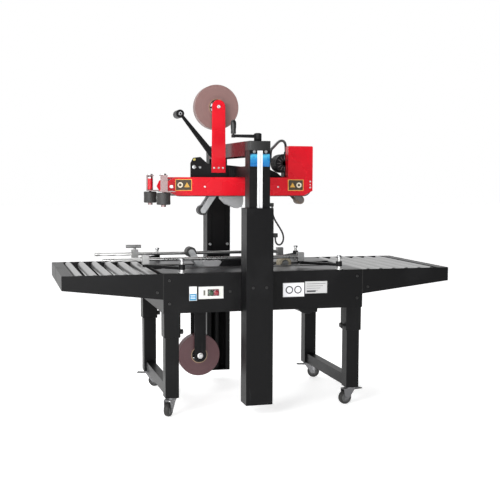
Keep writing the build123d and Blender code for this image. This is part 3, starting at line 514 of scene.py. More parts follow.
tyre = rubber("caster_rubber", 0.008)
hub_grey = grey_plastic("hub_grey", (0.075, 0.075, 0.075))
fork_steel = bright_zinc("fork_steel", (0.17, 0.17, 0.175), 0.28)
for place in ("front_left", "front_right", "rear_left", "rear_right"):
    fork = f"caster_fork_{place}"
    dressed(fork, [fork_steel, dark_plastic], lambda low, high: int(high.z - low.z < 0.006), edge=0.0008)
    joint = next(j for j in frame["joints"] if j["name"] == f"wheel_{place}_spin")
    axle = Vector(joint["pos_m"])
    line = Vector(joint["axis"]).normalized()
    bm = bmesh.new()
    turned(bm, [(0.0052, -0.0125), (0.011, -0.0125), (0.012, -0.0105), (0.019, -0.0085), (0.0205, -0.0115),
                (0.0215, -0.0115), (0.0215, 0.0115), (0.0205, 0.0115), (0.019, 0.0085), (0.012, 0.0105),
                (0.011, 0.0125), (0.0052, 0.0125)], (0, 0, 0), "Y", 40)
    for face in bm.faces:
        face.material_index = 1
    turned(bm, [(0.0215, -0.0115), (0.0280, -0.0105), (0.0302, -0.0080), (0.0308, -0.0035), (0.0310, 0),
                (0.0308, 0.0035), (0.0302, 0.0080), (0.0280, 0.0105), (0.0215, 0.0115)], (0, 0, 0), "Y", 48)
    turn = Vector((0, 1, 0)).rotation_difference(line).to_matrix().to_4x4()
    bmesh.ops.transform(bm, matrix=Matrix.Translation(axle) @ turn, verts=bm.verts)
    wheel = f"caster_wheel_{place}"
    finished(f"{wheel}_tyre", bm, [tyre, hub_grey], body_of[wheel], [wheel])


# ---------------------------------------------------------------- lifting columns and top beam
# Two coated rectangular tubes that slide in the masts, closed by plastic caps and tied by
# a red folded beam that covers the chain between the two lead screws.
def gloss_red(name="red_powder", color=(0.60, 0.004, 0.014), shine=0.3):
    """Gloss powder coat: faint orange peel, hazy rubs and dust in the corners."""
    finish = Finish(name, color, 0.30, Coat_Weight=shine * 0.6, Coat_Roughness=0.15, Specular_IOR_Level=shine)
    haze = finish.noise(9, 5.0)
    peel = finish.noise(420, 2.0)
    worn = finish.ramp(finish.noise(26, 8.0), (0.70, (0, 0, 0)), (0.78, (1, 1, 1)))
    base = finish.mix(haze, tuple(c * 0.86 for c in color), tuple(min(1, c * 1.06) for c in color))
    finish.feed(Base_Color=finish.mix(worn * 0.18, base, tuple(c * 0.6 for c in color)),
                Roughness=haze * 0.14 + worn * 0.12 + 0.20,
                Normal=finish.bump(peel, 0.10, 0.0004))
    return finish


def chrome_plate(name="chrome"):
    finish = Finish(name, (0.56, 0.56, 0.56), 0.24, 1.0)
    smudge = finish.noise(16, 6.0)
    finish.feed(Roughness=smudge * 0.18 + 0.20,
                Base_Color=finish.mix(smudge, (0.46, 0.46, 0.45), (0.66, 0.66, 0.66)),
                Normal=finish.bump(finish.noise(260, 3.0), 0.04, 0.0002))
    return finish


red = gloss_red()
chrome = chrome_plate()
# The top beam is the same red powder coat darkened about tenfold: painted shade on the beam.
red_in_painted_shade = gloss_red("red_powder_in_painted_shade", (0.060, 0.003, 0.006), 0.06)


def column_pick(low, high):
    size = high - low
    if size.y > 0.5:
        return 1
    if size.x > 0.08:
        return 0
    return 3 if size.z < 0.03 else 2


dark_steel = bright_zinc("greased_steel", (0.055, 0.053, 0.050), 0.42)
# The beam takes the darkened red, painted shade; the columns, screws and pads take their own finishes.
dressed("lift_columns", [black, red_in_painted_shade, dark_steel, dark_plastic], column_pick, edge=0.0018)

columns = [pair for pair in solids_of("lift_columns")
           if (pair[1] - pair[0]).z > 0.7 and (pair[1] - pair[0]).x > 0.08]
for low, high in columns:
    side = "front" if low.y < 0 else "rear"
    outward = -1 if low.y < 0 else 1
    face_y = low.y if outward < 0 else high.y
    middle_x = (low.x + high.x) / 2
    skin = 0.0012
    bm = bmesh.new()
    box_into(bm, (low.x - skin, low.y - skin, high.z - 0.040),
             (high.x + skin, high.y + skin, high.z - 0.0003))
    sides = [edge for edge in bm.edges if abs(edge.verts[0].co.z - edge.verts[1].co.z) > 0.03]
    bmesh.ops.bevel(bm, geom=sides, offset=0.004, segments=3, profile=0.5, affect="EDGES", material=-1)
    finished(f"{side}_column_cap", bm, dark_plastic, "head", edge=0.0008)
    bm = bmesh.new()
    for x in (middle_x - 0.026, middle_x + 0.026):
        screw_into(bm, (x, face_y, high.z - 0.046), "Y", 0.0062, outward * 0.0035)
    finished(f"{side}_column_screws", bm, zinc, "head")


# ---------------------------------------------------------------- height scale and blue plate
# A white printed strip with a dark centre line and plain graduations, stuck down the
# front column, over a blue plate with a pale upper half.
def printed(name, color, roughness=0.35):
    finish = Finish(name, color, roughness)
    fade = finish.noise(30, 4.0)
    finish.feed(Base_Color=finish.mix(fade, tuple(c * 0.88 for c in color), color),
                Roughness=fade * 0.15 + (roughness - 0.05),
                Normal=finish.bump(finish.noise(600, 2.0), 0.05, 0.0002))
    return finish


def blue_plate(bottom, top):
    """Sky blue that pales upwards, with soft cloudy blotches."""
    finish = Finish("blue_plate", (0.02, 0.25, 0.70), 0.30)
    height = (finish.axis("Z") - bottom) * (1 / (top - bottom))
    cloud = finish.noise(34, 3.0)
    tone = finish.ramp(finish.clamp(height + cloud * 0.5 - 0.25), (0.0, (0.006, 0.10, 0.30)),
                       (0.55, (0.008, 0.16, 0.38)), (0.85, (0.05, 0.33, 0.50)), (1.0, (0.008, 0.05, 0.12)))
    finish.feed(Base_Color=tone, Roughness=cloud * 0.12 + 0.22)
    return finish


front = columns[0]
strip_x = (front[0].x + front[1].x) / 2
face_y = front[0].y
white_print = printed("white_print", (0.80, 0.80, 0.82))
ink = printed("ink", (0.03, 0.03, 0.035))
plate_z = (front[1].z - 0.109, front[1].z - 0.055)
bm = bmesh.new()
box_into(bm, (front[0].x + 0.003, face_y - 0.0006, plate_z[0]), (front[1].x - 0.003, face_y, plate_z[1]))
finished("blue_plate", bm, blue_plate(*plate_z), "head", edge=0.0002)
strip_z = (front[1].z - 0.420, front[1].z - 0.042)
bm = bmesh.new()
box_into(bm, (strip_x - 0.0115, face_y - 0.0013, strip_z[0]), (strip_x + 0.0115, face_y, strip_z[1]))
finished("height_strip", bm, white_print, "head", edge=0.0002)
bm = bmesh.new()
box_into(bm, (strip_x - 0.0012, face_y - 0.0016, strip_z[0] + 0.004),
         (strip_x + 0.0012, face_y - 0.001, strip_z[1] - 0.010))
tick_gap, long_tick, short_tick = 0.005, 0.0048, 0.0022
z = strip_z[0] + 0.010
count = 0
while z < strip_z[1] - 0.012:
    reach = long_tick if count % 5 == 0 else short_tick
    for direction in (-1, 1):
        ends = sorted((strip_x + direction * 0.0110, strip_x + direction * (0.0110 - reach)))
        box_into(bm, (ends[0], face_y - 0.0015, z - 0.0003), (ends[1], face_y - 0.001, z + 0.0003))
    z += tick_gap
    count += 1
finished("height_marks", bm, ink, "head")

# ---------------------------------------------------------------- hand crank
# A cast hub on the front lead screw, a tapered flat arm and a turning black grip.
crank_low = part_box("hand_crank")[0]
screw_axis = Vector(next(j for j in frame["joints"] if j["name"] == "crank_turn")["pos_m"])
grip_x = crank_low[0] + 0.0125
top = front[1].z + 0.0005
bm = bmesh.new()
turned(bm, [(0, 0.034), (0.006, 0.034), (0.007, 0.0325), (0.0145, 0.0325), (0.0165, 0.0300), (0.0165, 0.0020),
            (0.0150, 0), (0, 0)], (screw_axis.x, screw_axis.y, top), "Z", 40)
arm_half_width, arm_bottom, arm_top = 0.0085, 0.0130, 0.0270
arm = box_into(bm, (grip_x, screw_axis.y - arm_half_width, top + arm_bottom),
               (screw_axis.x - 0.012, screw_axis.y + arm_half_width, top + arm_top))
for vertex in arm:
    if vertex.co.x < grip_x + 0.001:
        vertex.co.y = screw_axis.y + (vertex.co.y - screw_axis.y) * 0.78
        vertex.co.z = top + 0.0225 + (vertex.co.z - top - 0.0225) * 0.85
turned(bm, [(0, 0), (0.0085, 0), (0.0090, 0.001), (0.0090, 0.0128), (0.0080, 0.0138), (0, 0.0138)],
       (grip_x, screw_axis.y, top + arm_bottom), "Z", 28)
finished("crank_casting", bm, powder_black("crank_black", 0.008, 0.40),
         "crank", ["hand_crank"], 0.0012)
bm = bmesh.new()
turned(bm, [(0, 0), (0.0042, 0), (0.0042, 0.0022), (0.0098, 0.0022), (0.0115, 0.005), (0.0106, 0.017),
            (0.0122, 0.034), (0.0122, 0.048), (0.0100, 0.056), (0.0058, 0.0610), (0, 0.0624)],
       (grip_x, screw_axis.y, top + 0.0268), "Z", 32)
finished("crank_grip", bm, dark_plastic, "crank")
bm = bmesh.new()
turned(bm, [(0, 0), (0.0105, 0), (0.0105, 0.0014), (0, 0.0014)],
       (screw_axis.x, screw_axis.y, top + 0.0325), "Z", 28)
turned(bm, [(0, -0.935), (0.0080, -0.935), (0.0080, 0), (0, 0)], (screw_axis.x, screw_axis.y, top), "Z", 20)
finished("crank_spindle", bm, dark_steel, "crank")

# ---------------------------------------------------------------- head frame
# Red folded side plates on two black arms from the columns, with belt pulleys between
# them and zinc brackets and shafts for the press rollers at the nose.
def head_pick(low, high):
    size = high - low
    if size.x > 0.5:
        return 0
    if size.y > 0.15:
        return 3
    if size.z > 0.07 and size.y > 0.02:
        return 4
    return 2 if size.x > 0.07 else 1


bracket_zinc = bright_zinc("bracket_zinc", (0.34, 0.25, 0.25), 0.42)
dressed("head_frame", [red, zinc, dark_plastic, black, bracket_zinc], head_pick, edge=0.0014)


def ribbed_rubber(name):
    """Black belt rubber with a pebbled running face and chalky carton dust."""
    finish = Finish(name, (0.014, 0.014, 0.015), 0.55)
    dust = finish.ramp(finish.noise(22, 7.0), (0.45, (0, 0, 0)), (0.85, (1, 1, 1)))
    pebble = finish.node("ShaderNodeTexVoronoi", {}, {"Vector": finish.place(), "Scale": 420.0})
    finish.feed(Base_Color=finish.mix(dust * 0.5, (0.014, 0.014, 0.015), (0.075, 0.068, 0.060)),
                Roughness=dust * 0.2 + 0.45, Normal=finish.bump(pebble, 0.35, 0.0006))
    return finish


belt = ribbed_rubber("belt_rubber")
for node in ("upper_belts", "lower_belts"):
    dressed(node, [belt], edge=0.0010, angle=50)

plates = sorted((pair for pair in solids_of("head_frame") if (pair[1] - pair[0]).x > 0.6),
                key=lambda p: p[0].y)
plate_low, plate_high = plates[0]
bm = bmesh.new()
for low, high in plates:
    outward = -1 if low.y < 0 else 1
    face = low.y if outward < 0 else high.y
    for x, z, radius in ((plate_low.x + 0.026, -0.043, 0.0085),
                         (-0.228, -0.043, 0.0045), (0.119, -0.043, 0.0045),
                         (0.276, -0.018, 0.0042), (0.276, -0.046, 0.0042), (0.276, -0.032, 0.0030)):
        screw_into(bm, (x, face, plate_high.z + z), "Y", radius, outward * radius * 0.5)
finished("head_screws", bm, bright_zinc("head_screw_zinc", (0.85, 0.85, 0.86), 0.34), "head")

# ---------------------------------------------------------------- stickers on the head
# Small dark plates with an amber border, a plain disc and a plain triangle, no wording.
amber = printed("amber_print", (0.80, 0.38, 0.06))
sticker_dark = printed("sticker_dark", (0.045, 0.030, 0.012))
pale = printed("pale_print", (0.78, 0.68, 0.52))
for name, x, mirrored in (("infeed", -0.326, 1), ("outfeed", 0.205, -1)):
    y = plate_low.y
    z = plate_low.z + 0.048
    bm = bmesh.new()
    box_into(bm, (x - 0.038, y - 0.0005, z - 0.026), (x + 0.038, y, z + 0.026))
    finished(f"{name}_sticker_border", bm, amber, "head", edge=0.0002)
    bm = bmesh.new()
    box_into(bm, (x - 0.0350, y - 0.0008, z - 0.0230), (x + 0.0350, y - 0.0004, z + 0.0230))
    finished(f"{name}_sticker_ground", bm, sticker_dark, "head")
    bm = bmesh.new()
    turned(bm, [(0.0062, -0.0012), (0.0125, -0.0012), (0.0125, -0.0006), (0.0062, -0.0006)],
           (x - mirrored * 0.0155, y, z), "Y", 32)
    finished(f"{name}_sticker_ring", bm, pale, "head")
    bm = bmesh.new()
    middle = Matrix.Translation((x + mirrored * 0.0155, y - 0.0012, z - 0.003))
    bmesh.ops.create_circle(bm, cap_ends=True, radius=0.0150, segments=3,
                            matrix=middle @ Matrix.Rotation(pi / 2, 4, "X"))
    raised = bmesh.ops.extrude_face_region(bm, geom=list(bm.faces))
    moved = [item for item in raised["geom"] if isinstance(item, bmesh.types.BMVert)]
    bmesh.ops.translate(bm, verts=moved, vec=(0, 0.0006, 0))
    bmesh.ops.recalc_face_normals(bm, faces=bm.faces)
    finished(f"{name}_sticker_triangle", bm, printed(f"{name}_triangle", (0.62, 0.34, 0.05)),
             "head")

# ---------------------------------------------------------------- motor and cover
# A folded red cover hides the drive; the motor lies behind its edge with the eight-sided
# fan cowl towards the operator, and a worm gearbox stands on the plate across the head.
cover_solids = solids_of("motor_cover")
cover_low = max(p[0].x for p in cover_solids) - 0.001


def cover_pick(low, high):
    """The cover and its seat are red, the motor with its gearbox is black."""
    return int(low.x < cover_low)


motor_black = powder_black("motor_black", 0.010, 0.42)
dressed("motor_cover", [red, motor_black], cover_pick, edge=0.0016)
motor_low, motor_high = next(p for p in cover_solids if (p[1] - p[0]).x > 0.14 and (p[1] - p[0]).y > 0.1
                             and (p[1] - p[0]).z > 0.05)
motor_centre = Vector((motor_low.x + 0.043, motor_low.y, motor_low.z + 0.062))
bm = bmesh.new()
for step in range(6):
    y = motor_low.y + 0.026 + step * 0.0095
    turned(bm, [(0.0405, y), (0.0436, y + 0.0006), (0.0436, y + 0.0034), (0.0405, y + 0.004)],
           (motor_centre.x, 0, motor_centre.z), "Y", 40)
finished("motor_fins", bm, motor_black, "head")
bm = bmesh.new()
place = Matrix.Translation((motor_centre.x, motor_low.y + 0.0125, motor_centre.z))
place = place @ Matrix.Rotation(pi / 2, 4, "X")
bmesh.ops.create_cone(bm, cap_ends=True, segments=8, radius1=0.0455, radius2=0.0405, depth=0.020,
                      matrix=place @ Matrix.Rotation(pi / 8, 4, "Z"))
finished("motor_cowl", bm, motor_black, "head", edge=0.0015)
bm = bmesh.new()
fan_grey = grey_plastic("fan_grey", (0.10, 0.09, 0.09))
turned(bm, [(0, 0.0002), (0.0105, 0.0002), (0.0125, 0.0018), (0.0125, 0.0030), (0, 0.0030)],
       (motor_centre.x, motor_low.y - 0.0002, motor_centre.z), "Y", 32)
for step in range(12):
    bar = box_into(bm, (0.0150, 0.0015, -0.0012), (0.0360, 0.0030, 0.0012))
    turn = Matrix.Translation((motor_centre.x, motor_low.y - 0.0006, motor_centre.z))
    turn = turn @ Matrix.Rotation(step * pi / 6, 4, "Y")
    bmesh.ops.transform(bm, matrix=turn, verts=bar)
finished("motor_fan", bm, fan_grey, "head")
bm = bmesh.new()
for x in (0.203, 0.259):
    for z in (motor_high.z - 0.090, motor_high.z - 0.022):
        screw_into(bm, (x, motor_high.y, z), "Y", 0.0045, 0.0030)
finished("gearbox_screws", bm, zinc, "head")

# ---------------------------------------------------------------- press rollers
# Two black rubber rollers on upright shafts at the nose, which press the carton's sides.
press_rubber = rubber("press_rubber", 0.014, 0.55)
for side in ("front", "rear"):
    node = f"{side}_press_roller"
    low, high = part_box(node)
    centre = ((low[0] + high[0]) / 2, (low[1] + high[1]) / 2, low[2])
    tall = high[2] - low[2]
    radius = (high[0] - low[0]) / 2
    bm = bmesh.new()
    turned(bm, [(0.0065, 0.002), (0.012, 0.002), (0.013, 0), (radius - 0.004, 0), (radius - 0.0010, 0.0016),
                (radius - 0.0002, 0.005), (radius - 0.0010, tall * 0.5), (radius - 0.0002, tall - 0.005),
                (radius - 0.0010, tall - 0.0016), (radius - 0.004, tall), (0.013, tall),
                (0.012, tall - 0.002),
                (0.0065, tall - 0.002)], centre, "Z", 48)
    finished(f"{node}_tyre", bm, press_rubber, body_of[node], [node])

# ---------------------------------------------------------------- press roller hardware
# Zinc nuts and a red sleeve on each roller's shaft.
bm = bmesh.new()
for low, high in solids_of("head_frame"):
    size = high - low
    if size.x < 0.03 and size.z > 0.12:
        centre = (low + high) / 2
        for height, radius, tall in ((high.z - 0.0215, 0.0115, 0.007), (high.z - 0.0060, 0.0130, 0.0058)):
            place = Matrix.Translation((centre.x, centre.y, height + tall / 2))
            bmesh.ops.create_cone(bm, cap_ends=True, segments=6, radius1=radius, radius2=radius,
                                  depth=tall, matrix=place)
finished("press_shaft_nuts", bm, zinc, "head", edge=0.0006)
bm = bmesh.new()
for side in ("front", "rear"):
    low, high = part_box(f"{side}_press_roller")
    x, y = (low[0] + high[0]) / 2, (low[1] + high[1]) / 2
    turned(bm, [(0.0063, 0.0090), (0.0105, 0.0090), (0.0115, 0.0100), (0.0115, 0.0620),
                (0.0105, 0.0630), (0.0063, 0.0630)],
           (x, y, high[2]), "Z", 28)
finished("press_spring_sleeves", bm, red, "head")


# ---------------------------------------------------------------- tape cartridges
# Black side plates with red roll arm above; chrome roller arms, a grey cutter guard and a
# black guide lever. The lower cartridge is the same thing turned over.
def guard_grey():
    finish = Finish("guard_grey", (0.42, 0.43, 0.44), 0.45, 0.6)
    brush = finish.noise(90, 4.0, (1, 1, 10))
    finish.feed(Base_Color=finish.mix(brush, (0.30, 0.30, 0.31), (0.52, 0.52, 0.53)),
                Roughness=brush * 0.2 + 0.34,
                Normal=finish.bump(brush, 0.08, 0.0003))
    return finish


guard = guard_grey()
upper_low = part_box("upper_tape_frame")[0]


def upper_pick(low, high):
    size = high - low
    if size.z > 0.3 and size.x < 0.09:
        return 1
    if size.z < 0.13 and low.z < upper_low[2] + 0.01:
        return 2
    if size.x < 0.017 and size.z < 0.017:
        return 3
    return 0


cart_black = powder_black("cartridge_black", 0.007, 0.40)
dressed("upper_tape_frame", [cart_black, red, guard, zinc], upper_pick, edge=0.0008)


def lower_pick(low, high):
    size = high - low
    if size.x > 0.09 and size.x < 0.1 and size.z < 0.08:
        return 2
    if size.x < 0.017 and size.z < 0.017:
        return 3
    return 0


dressed("lower_tape_frame", [cart_black, red, guard, zinc], lower_pick, edge=0.0008)
for node in ("upper_front_arm", "upper_rear_arm", "lower_front_arm", "lower_rear_arm"):
    tone = (0.20, 0.18, 0.17) if node == "upper_rear_arm" else (0.50, 0.51, 0.52)
    dressed(node, [bright_zinc(f"{node}_zinc", tone, 0.30)], edge=0.0009)


spin_axis = {joint["name"][:-5]: (joint["pos_m"][0], 0, joint["pos_m"][2]) for joint in frame["joints"]
             if joint["name"].endswith("_spin")}


def wiper(node, finish, hub):
    """A tape roller: a soft sleeve on a moulded hub with a dished face."""
    low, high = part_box(node)
    centre = spin_axis[node]
    radius = (high[2] - low[2]) / 2
    half = (high[1] - low[1]) / 2 - 0.0004
    core = radius * 0.55
    bm = bmesh.new()
    turned(bm, [(0.0064, -half), (0.0095, -half), (0.0105, -half + 0.002), (core, -half + 0.003),
                (core, half - 0.003), (0.0105, half - 0.002), (0.0095, half), (0.0064, half)],
           centre, "Y", 36)
    for face in bm.faces:
        face.material_index = 1
    turned(bm, [(core, -half), (radius - 0.0018, -half), (radius, -half + 0.0018), (radius, half - 0.0018),
                (radius - 0.0018, half), (core, half)], centre, "Y", 44)
    finished(f"{node}_sleeve", bm, [finish, hub], body_of[node], [node])


def soft_rubber(name, color):
    finish = Finish(name, color, 0.6)
    stain = finish.noise(50, 5.0)
    finish.feed(Base_Color=finish.mix(stain, tuple(c * 0.72 for c in color), color),
                Roughness=stain * 0.2 + 0.48,
                Normal=finish.bump(finish.noise(500, 3.0), 0.2, 0.0004))
    return finish


white_hub = grey_plastic("white_hub", (0.62, 0.62, 0.62))
wiper("upper_front_roller", belt, white_hub)
wiper("lower_front_roller", belt, white_hub)
wiper("upper_rear_roller", soft_rubber("brown_rubber", (0.17, 0.125, 0.09)), hub_grey)
wiper("lower_rear_roller", soft_rubber("khaki_rubber", (0.42, 0.37, 0.27)), hub_grey)


# ---------------------------------------------------------------- rolls of tape
# Brown packing tape wound on a card core, on a black spoked hub; the side of the roll
# shows the fine rings of its windings.
def wound_tape(name, color, centre):
    """Tape seen edge-on: rings of slightly different tone, glossier on the rim."""
    finish = Finish(name, color, 0.42)
    x = finish.axis("X") - centre[0]
    z = finish.axis("Z") - centre[2]
    radius = (x * x + z * z).math("POWER", x * x + z * z, 0.5)
    rings = finish.node("ShaderNodeTexNoise", {"noise_dimensions": "1D"},
                        {"W": radius * 900.0, "Scale": 1.0, "Detail": 4.0})
    bands = finish.node("ShaderNodeTexNoise", {"noise_dimensions": "1D"},
                        {"W": radius * 110.0, "Scale": 1.0, "Detail": 2.0})
    tone = finish.mix(rings, tuple(c * 0.62 for c in color), tuple(c * 1.25 for c in color))
    finish.feed(Base_Color=finish.mix(bands * 0.45, tone, tuple(c * 1.7 for c in color)),
                Roughness=rings * 0.2 + 0.30, Normal=finish.bump(rings, 0.35, 0.0005))
    return finish


card = printed("core_card", (0.30, 0.20, 0.12), 0.7)
# The lower roll has the same brown tape darkened to under half: painted shade under the table.
for node, color in (("upper_tape_roll", (0.170, 0.092, 0.085)), ("lower_tape_roll", (0.070, 0.026, 0.030))):
    low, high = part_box(node)
    centre = spin_axis[node]
    radius = (high[2] - low[2]) / 2
    bm = bmesh.new()
    turned(bm, [(0.0385, -0.0238), (radius - 0.0008, -0.0240), (radius, -0.0232), (radius, 0.0232),
                (radius - 0.0008, 0.0240), (0.0385, 0.0238)], centre, "Y", 96)
    finished(f"{node}_windings", bm, wound_tape(f"{node}_tape", color, centre),
             body_of[node], [node])
    bm = bmesh.new()
    turned(bm, [(0.0352, -0.0244), (0.0385, -0.0244), (0.0385, 0.0244), (0.0352, 0.0244)], centre, "Y", 64)
    finished(f"{node}_core", bm, card, body_of[node], edge=0.0003)
    bm = bmesh.new()
    turned(bm, [(0.0087, -0.0264), (0.0155, -0.0264), (0.0165, -0.0252), (0.0165, 0.0252), (0.0155, 0.0264),
                (0.0087, 0.0264)], centre, "Y", 40)
    turned(bm, [(0.0310, -0.0250), (0.0351, -0.0250), (0.0351, 0.0250), (0.0310, 0.0250)], centre, "Y", 64)
    for step in range(6):
        spoke = box_into(bm, (0.0165, -0.0225, -0.0022), (0.0315, 0.0225, 0.0022))
        turn = Matrix.Translation(centre) @ Matrix.Rotation(step * pi / 3, 4, "Y")
        bmesh.ops.transform(bm, matrix=turn, verts=spoke)
    finished(f"{node}_hub", bm, dark_plastic, body_of[node], edge=0.0005)

# ---------------------------------------------------------------- guide lever roller and screws
# The film guide's bush at the lever's end, the big shoulder screw and the smaller screws
# of the cartridge, the three screws of the red arm and the nuts on both roll axles.
tip = Vector((-0.326, -0.050, 1.325))
bm = bmesh.new()
turned(bm, [(0.0045, -0.0030), (0.0070, -0.0030), (0.0085, -0.0015), (0.0085, 0), (0.0045, 0)], tip, "Y", 36)
finished("lever_bush", bm, zinc, "head")
plate_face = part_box("upper_tape_frame")[0][1] + 0.004
bm = bmesh.new()
for x, z, radius in ((-0.263, 1.084, 0.0095), (-0.236, 1.082, 0.0058),
                     (-0.060, 1.062, 0.0050), (0.060, 1.045, 0.0050)):
    screw_into(bm, (x, plate_face, z), "Y", radius, -0.003)
    screw_into(bm, (max(x, -0.232), -plate_face, z), "Y", min(radius, 0.006), 0.003)
finished("cartridge_screws", bm, zinc, "head")
bm = bmesh.new()
turned(bm, [(0, -0.011), (0.0050, -0.011), (0.0062, -0.0095), (0.0062, -0.003),
            (0.0045, -0.003), (0.0045, 0), (0, 0)],
       (-0.264, plate_face, 1.117), "Y", 24)
finished("brass_stud", bm, bright_zinc("brass", (0.55, 0.47, 0.16), 0.34), "head")
roll_x, _, roll_z = spin_axis["upper_tape_roll"]
bm = bmesh.new()
for x in (roll_x - 0.022, roll_x, roll_x + 0.020):
    screw_into(bm, (x, plate_face - 0.004, 1.080), "Y", 0.0046, -0.0030)
screw_into(bm, (roll_x, plate_face - 0.004, roll_z), "Y", 0.0080, -0.0040)
turned(bm, [(0, 0), (0.0130, 0), (0.0130, 0.0035), (0.0115, 0.0050), (0, 0.0050)],
       (roll_x, 0.0275, roll_z), "Y", 32)
finished("roll_arm_screws", bm, bright_zinc("pale_zinc", (0.72, 0.72, 0.72), 0.40), "head")
bm = bmesh.new()
for side in (-1, 1):
    turned(bm, [(0, side * 0.0455), (0.0140, side * 0.0455), (0.0140, side * 0.0475), (0.0125, side * 0.0490),
                (0.0075, side * 0.0495), (0.0070, side * 0.0520), (0, side * 0.0520)],
                spin_axis["lower_tape_roll"],
           "Y", 32)
finished("lower_roll_nuts", bm, bright_zinc("washer_zinc", (0.72, 0.72, 0.72), 0.40), "base")

# ---------------------------------------------------------------- lower drive
# Coated bed plates, steel slide beds under the belts, and the gearmotor that hangs under
# the outfeed end of the table.
def drive_pick(low, high):
    size = high - low
    if size.x > 0.85:
        return 0
    return 1 if size.x > 0.6 else 2


dressed("lower_belt_drive", [black, zinc, cart_black], drive_pick, edge=0.0010)

# ---------------------------------------------------------------- carton guides
# Chrome posts on round flanges, black swing arms, and chrome rails in grey clamp blocks;
# the rear clamp has a T-shaped tightening knob.
dressed("guide_posts", [chrome], edge=0.0010)
for node in ("front_infeed_arm", "front_outfeed_arm", "rear_infeed_arm", "rear_outfeed_arm"):
    dressed(node, [cart_black], edge=0.0014)
clamp_zinc = bright_zinc("clamp_zinc", (0.33, 0.33, 0.33), 0.40)
for node in ("front_guide_rail", "rear_guide_rail"):
    rail = merged_copy(node)
    low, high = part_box(node)
    axis_y, axis_z = (low[1] + high[1]) / 2, 0.672
    for face in rail.faces:
        reach = max(hypot(vertex.co.y - axis_y, vertex.co.z - axis_z) for vertex in face.verts)
        face.material_index = int(reach > 0.0088)
    finished(f"{node}_bar", rail, [chrome, clamp_zinc], body_of[node], [node], 0.0010)
bm = bmesh.new()
bm_caps = bmesh.new()
for low, high in solids_of("guide_posts"):
    centre = (low + high) / 2
    turned(bm_caps, [(0, 0.0005), (0.0095, 0.0005), (0.0105, 0.0015), (0.0105, 0.0075),
                     (0.0090, 0.0095), (0, 0.0095)],
           (centre.x, centre.y, high.z - 0.0101), "Z", 28)
    for step in range(3):
        angle = step * 2 * pi / 3 + 0.5
        screw_into(bm, (centre.x + 0.015 * cos(angle), centre.y + 0.015 * sin(angle), low.z + 0.004),
                   "Z", 0.0024, 0.0018)
finished("post_flange_screws", bm, zinc, "base")
finished("post_caps", bm_caps, zinc, "base")


# ---------------------------------------------------------------- switch plate and buttons
# A cream plate with dark grounds round the green start and red stop buttons; next to it
# a blue and white plate, and towards the outfeed two plain rating plates.
def button_plastic(name, color):
    finish = Finish(name, color, 0.25, Coat_Weight=0.3)
    grease = finish.noise(90, 4.0)
    finish.feed(Base_Color=finish.mix(grease, tuple(c * 0.75 for c in color), color),
                Roughness=grease * 0.2 + 0.16)
    return finish


panel_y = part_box("table_body")[0][1]
silver = printed("silver_print", (0.50, 0.50, 0.50))


dressed("panel_plates", [silver, dark_plastic], lambda low, high: int(low.y > 0), edge=0.0003)


def panel_box(name, x, z, finish, proud):
    """A flat printed patch on the front panel, proud of the sheet by a little."""
    bm = bmesh.new()
    box_into(bm, (x[0], panel_y - proud, z[0]), (x[1], panel_y - proud + 0.0006, z[1]))
    return finished(name, bm, finish, "base", edge=0.0001)


panel_box("start_ground", (-0.2640, -0.2385), (0.5235, 0.5525),
          printed("olive_ground", (0.020, 0.018, 0.012)), 0.0019)
panel_box("stop_ground", (-0.2385, -0.2130), (0.5235, 0.5525),
          printed("wine_ground", (0.105, 0.012, 0.030)), 0.0019)
panel_box("switch_frame", (-0.302, -0.195), (0.513, 0.563),
          printed("cream_print", (0.66, 0.66, 0.62)), 0.0017)
panel_box("rocker_face", (-0.2825, -0.2765), (0.5275, 0.5485),
          printed("rocker_olive", (0.10, 0.09, 0.07)), 0.0052)
bm = bmesh.new()
turned(bm, [(0, -0.0018), (0.0035, -0.0018), (0.0035, -0.0011), (0, -0.0011)],
       (-0.328, panel_y, 0.551), "Y", 24)
finished("patch_dot", bm, silver, "base")
panel_box("blue_patch_low", (-0.343, -0.313), (0.507, 0.534),
          printed("patch_blue", (0.010, 0.22, 0.42)), 0.0013)
panel_box("pale_patch_high", (-0.343, -0.313), (0.537, 0.565), white_print, 0.0013)
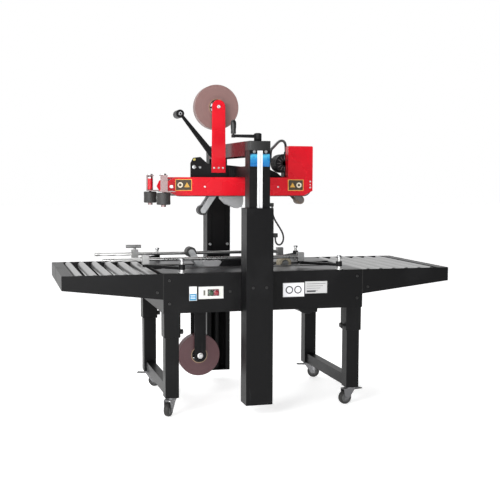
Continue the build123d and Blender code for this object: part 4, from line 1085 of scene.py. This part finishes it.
for number, z in enumerate((0.514, 0.520, 0.526)):
    panel_box(f"blue_patch_line_{number}", (-0.339, -0.318), (z, z + 0.0022), white_print, 0.0015)
panel_box("mark_plate", (0.080, 0.176), (0.510, 0.569), white_print, 0.0013)
bm = bmesh.new()
for x in (0.108, 0.148):
    turned(bm, [(0.0125, -0.0016), (0.0175, -0.0016), (0.0175, -0.0011), (0.0125, -0.0011)],
           (x, panel_y, 0.5395), "Y", 40)
finished("mark_rings", bm, ink, "base")
for row in range(4):
    z = 0.565 - row * 0.010
    panel_box(f"rating_line_{row}", (0.190, 0.278 - row * 0.012), (z - 0.0016, z), ink, 0.0013)
panel_box("rating_block", (0.190, 0.232), (0.527, 0.533), ink, 0.0013)
for node, color in (("start_button", (0.020, 0.060, 0.026)), ("stop_button", (0.24, 0.010, 0.022))):
    low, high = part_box(node)
    centre = ((low[0] + high[0]) / 2, low[1], (low[2] + high[2]) / 2)
    bm = bmesh.new()
    turned(bm, [(0, 0.0006), (0.006, 0.0004), (0.0092, 0.0009), (0.0110, 0.0026),
                (0.0110, 0.0075), (0.0060, 0.0075),
                (0.0060, 0.0300), (0, 0.0300)], centre, "Y", 36)
    finished(f"{node}_cap", bm, button_plastic(node, color), body_of[node], [node])
    bm = bmesh.new()
    turned(bm, [(0.0113, -0.0045), (0.0118, -0.0045), (0.0123, -0.0036),
                (0.0123, -0.0015), (0.0113, -0.0015)],
           (centre[0], panel_y, centre[2]), "Y", 36)
    finished(f"{node}_bezel", bm, zinc, "base")

# ---------------------------------------------------------------- studio floor
# Pale seamless floor under the machine.
floor_finish = Finish("floor", (0.95, 0.95, 0.95), 0.6, Emission_Color=(1, 1, 1, 1), Emission_Strength=0.60)
floor_finish.feed(Roughness=floor_finish.noise(3) * 0.1 + 0.55)
floor_mesh = bpy.data.meshes.new("floor")
bm = bmesh.new()
bmesh.ops.create_grid(bm, x_segments=1, y_segments=1, size=30)
bm.to_mesh(floor_mesh)
bm.free()
floor_mesh.materials.append(floor_finish.material)
floor = bpy.data.objects.new("floor", floor_mesh)
scene.collection.objects.link(floor)
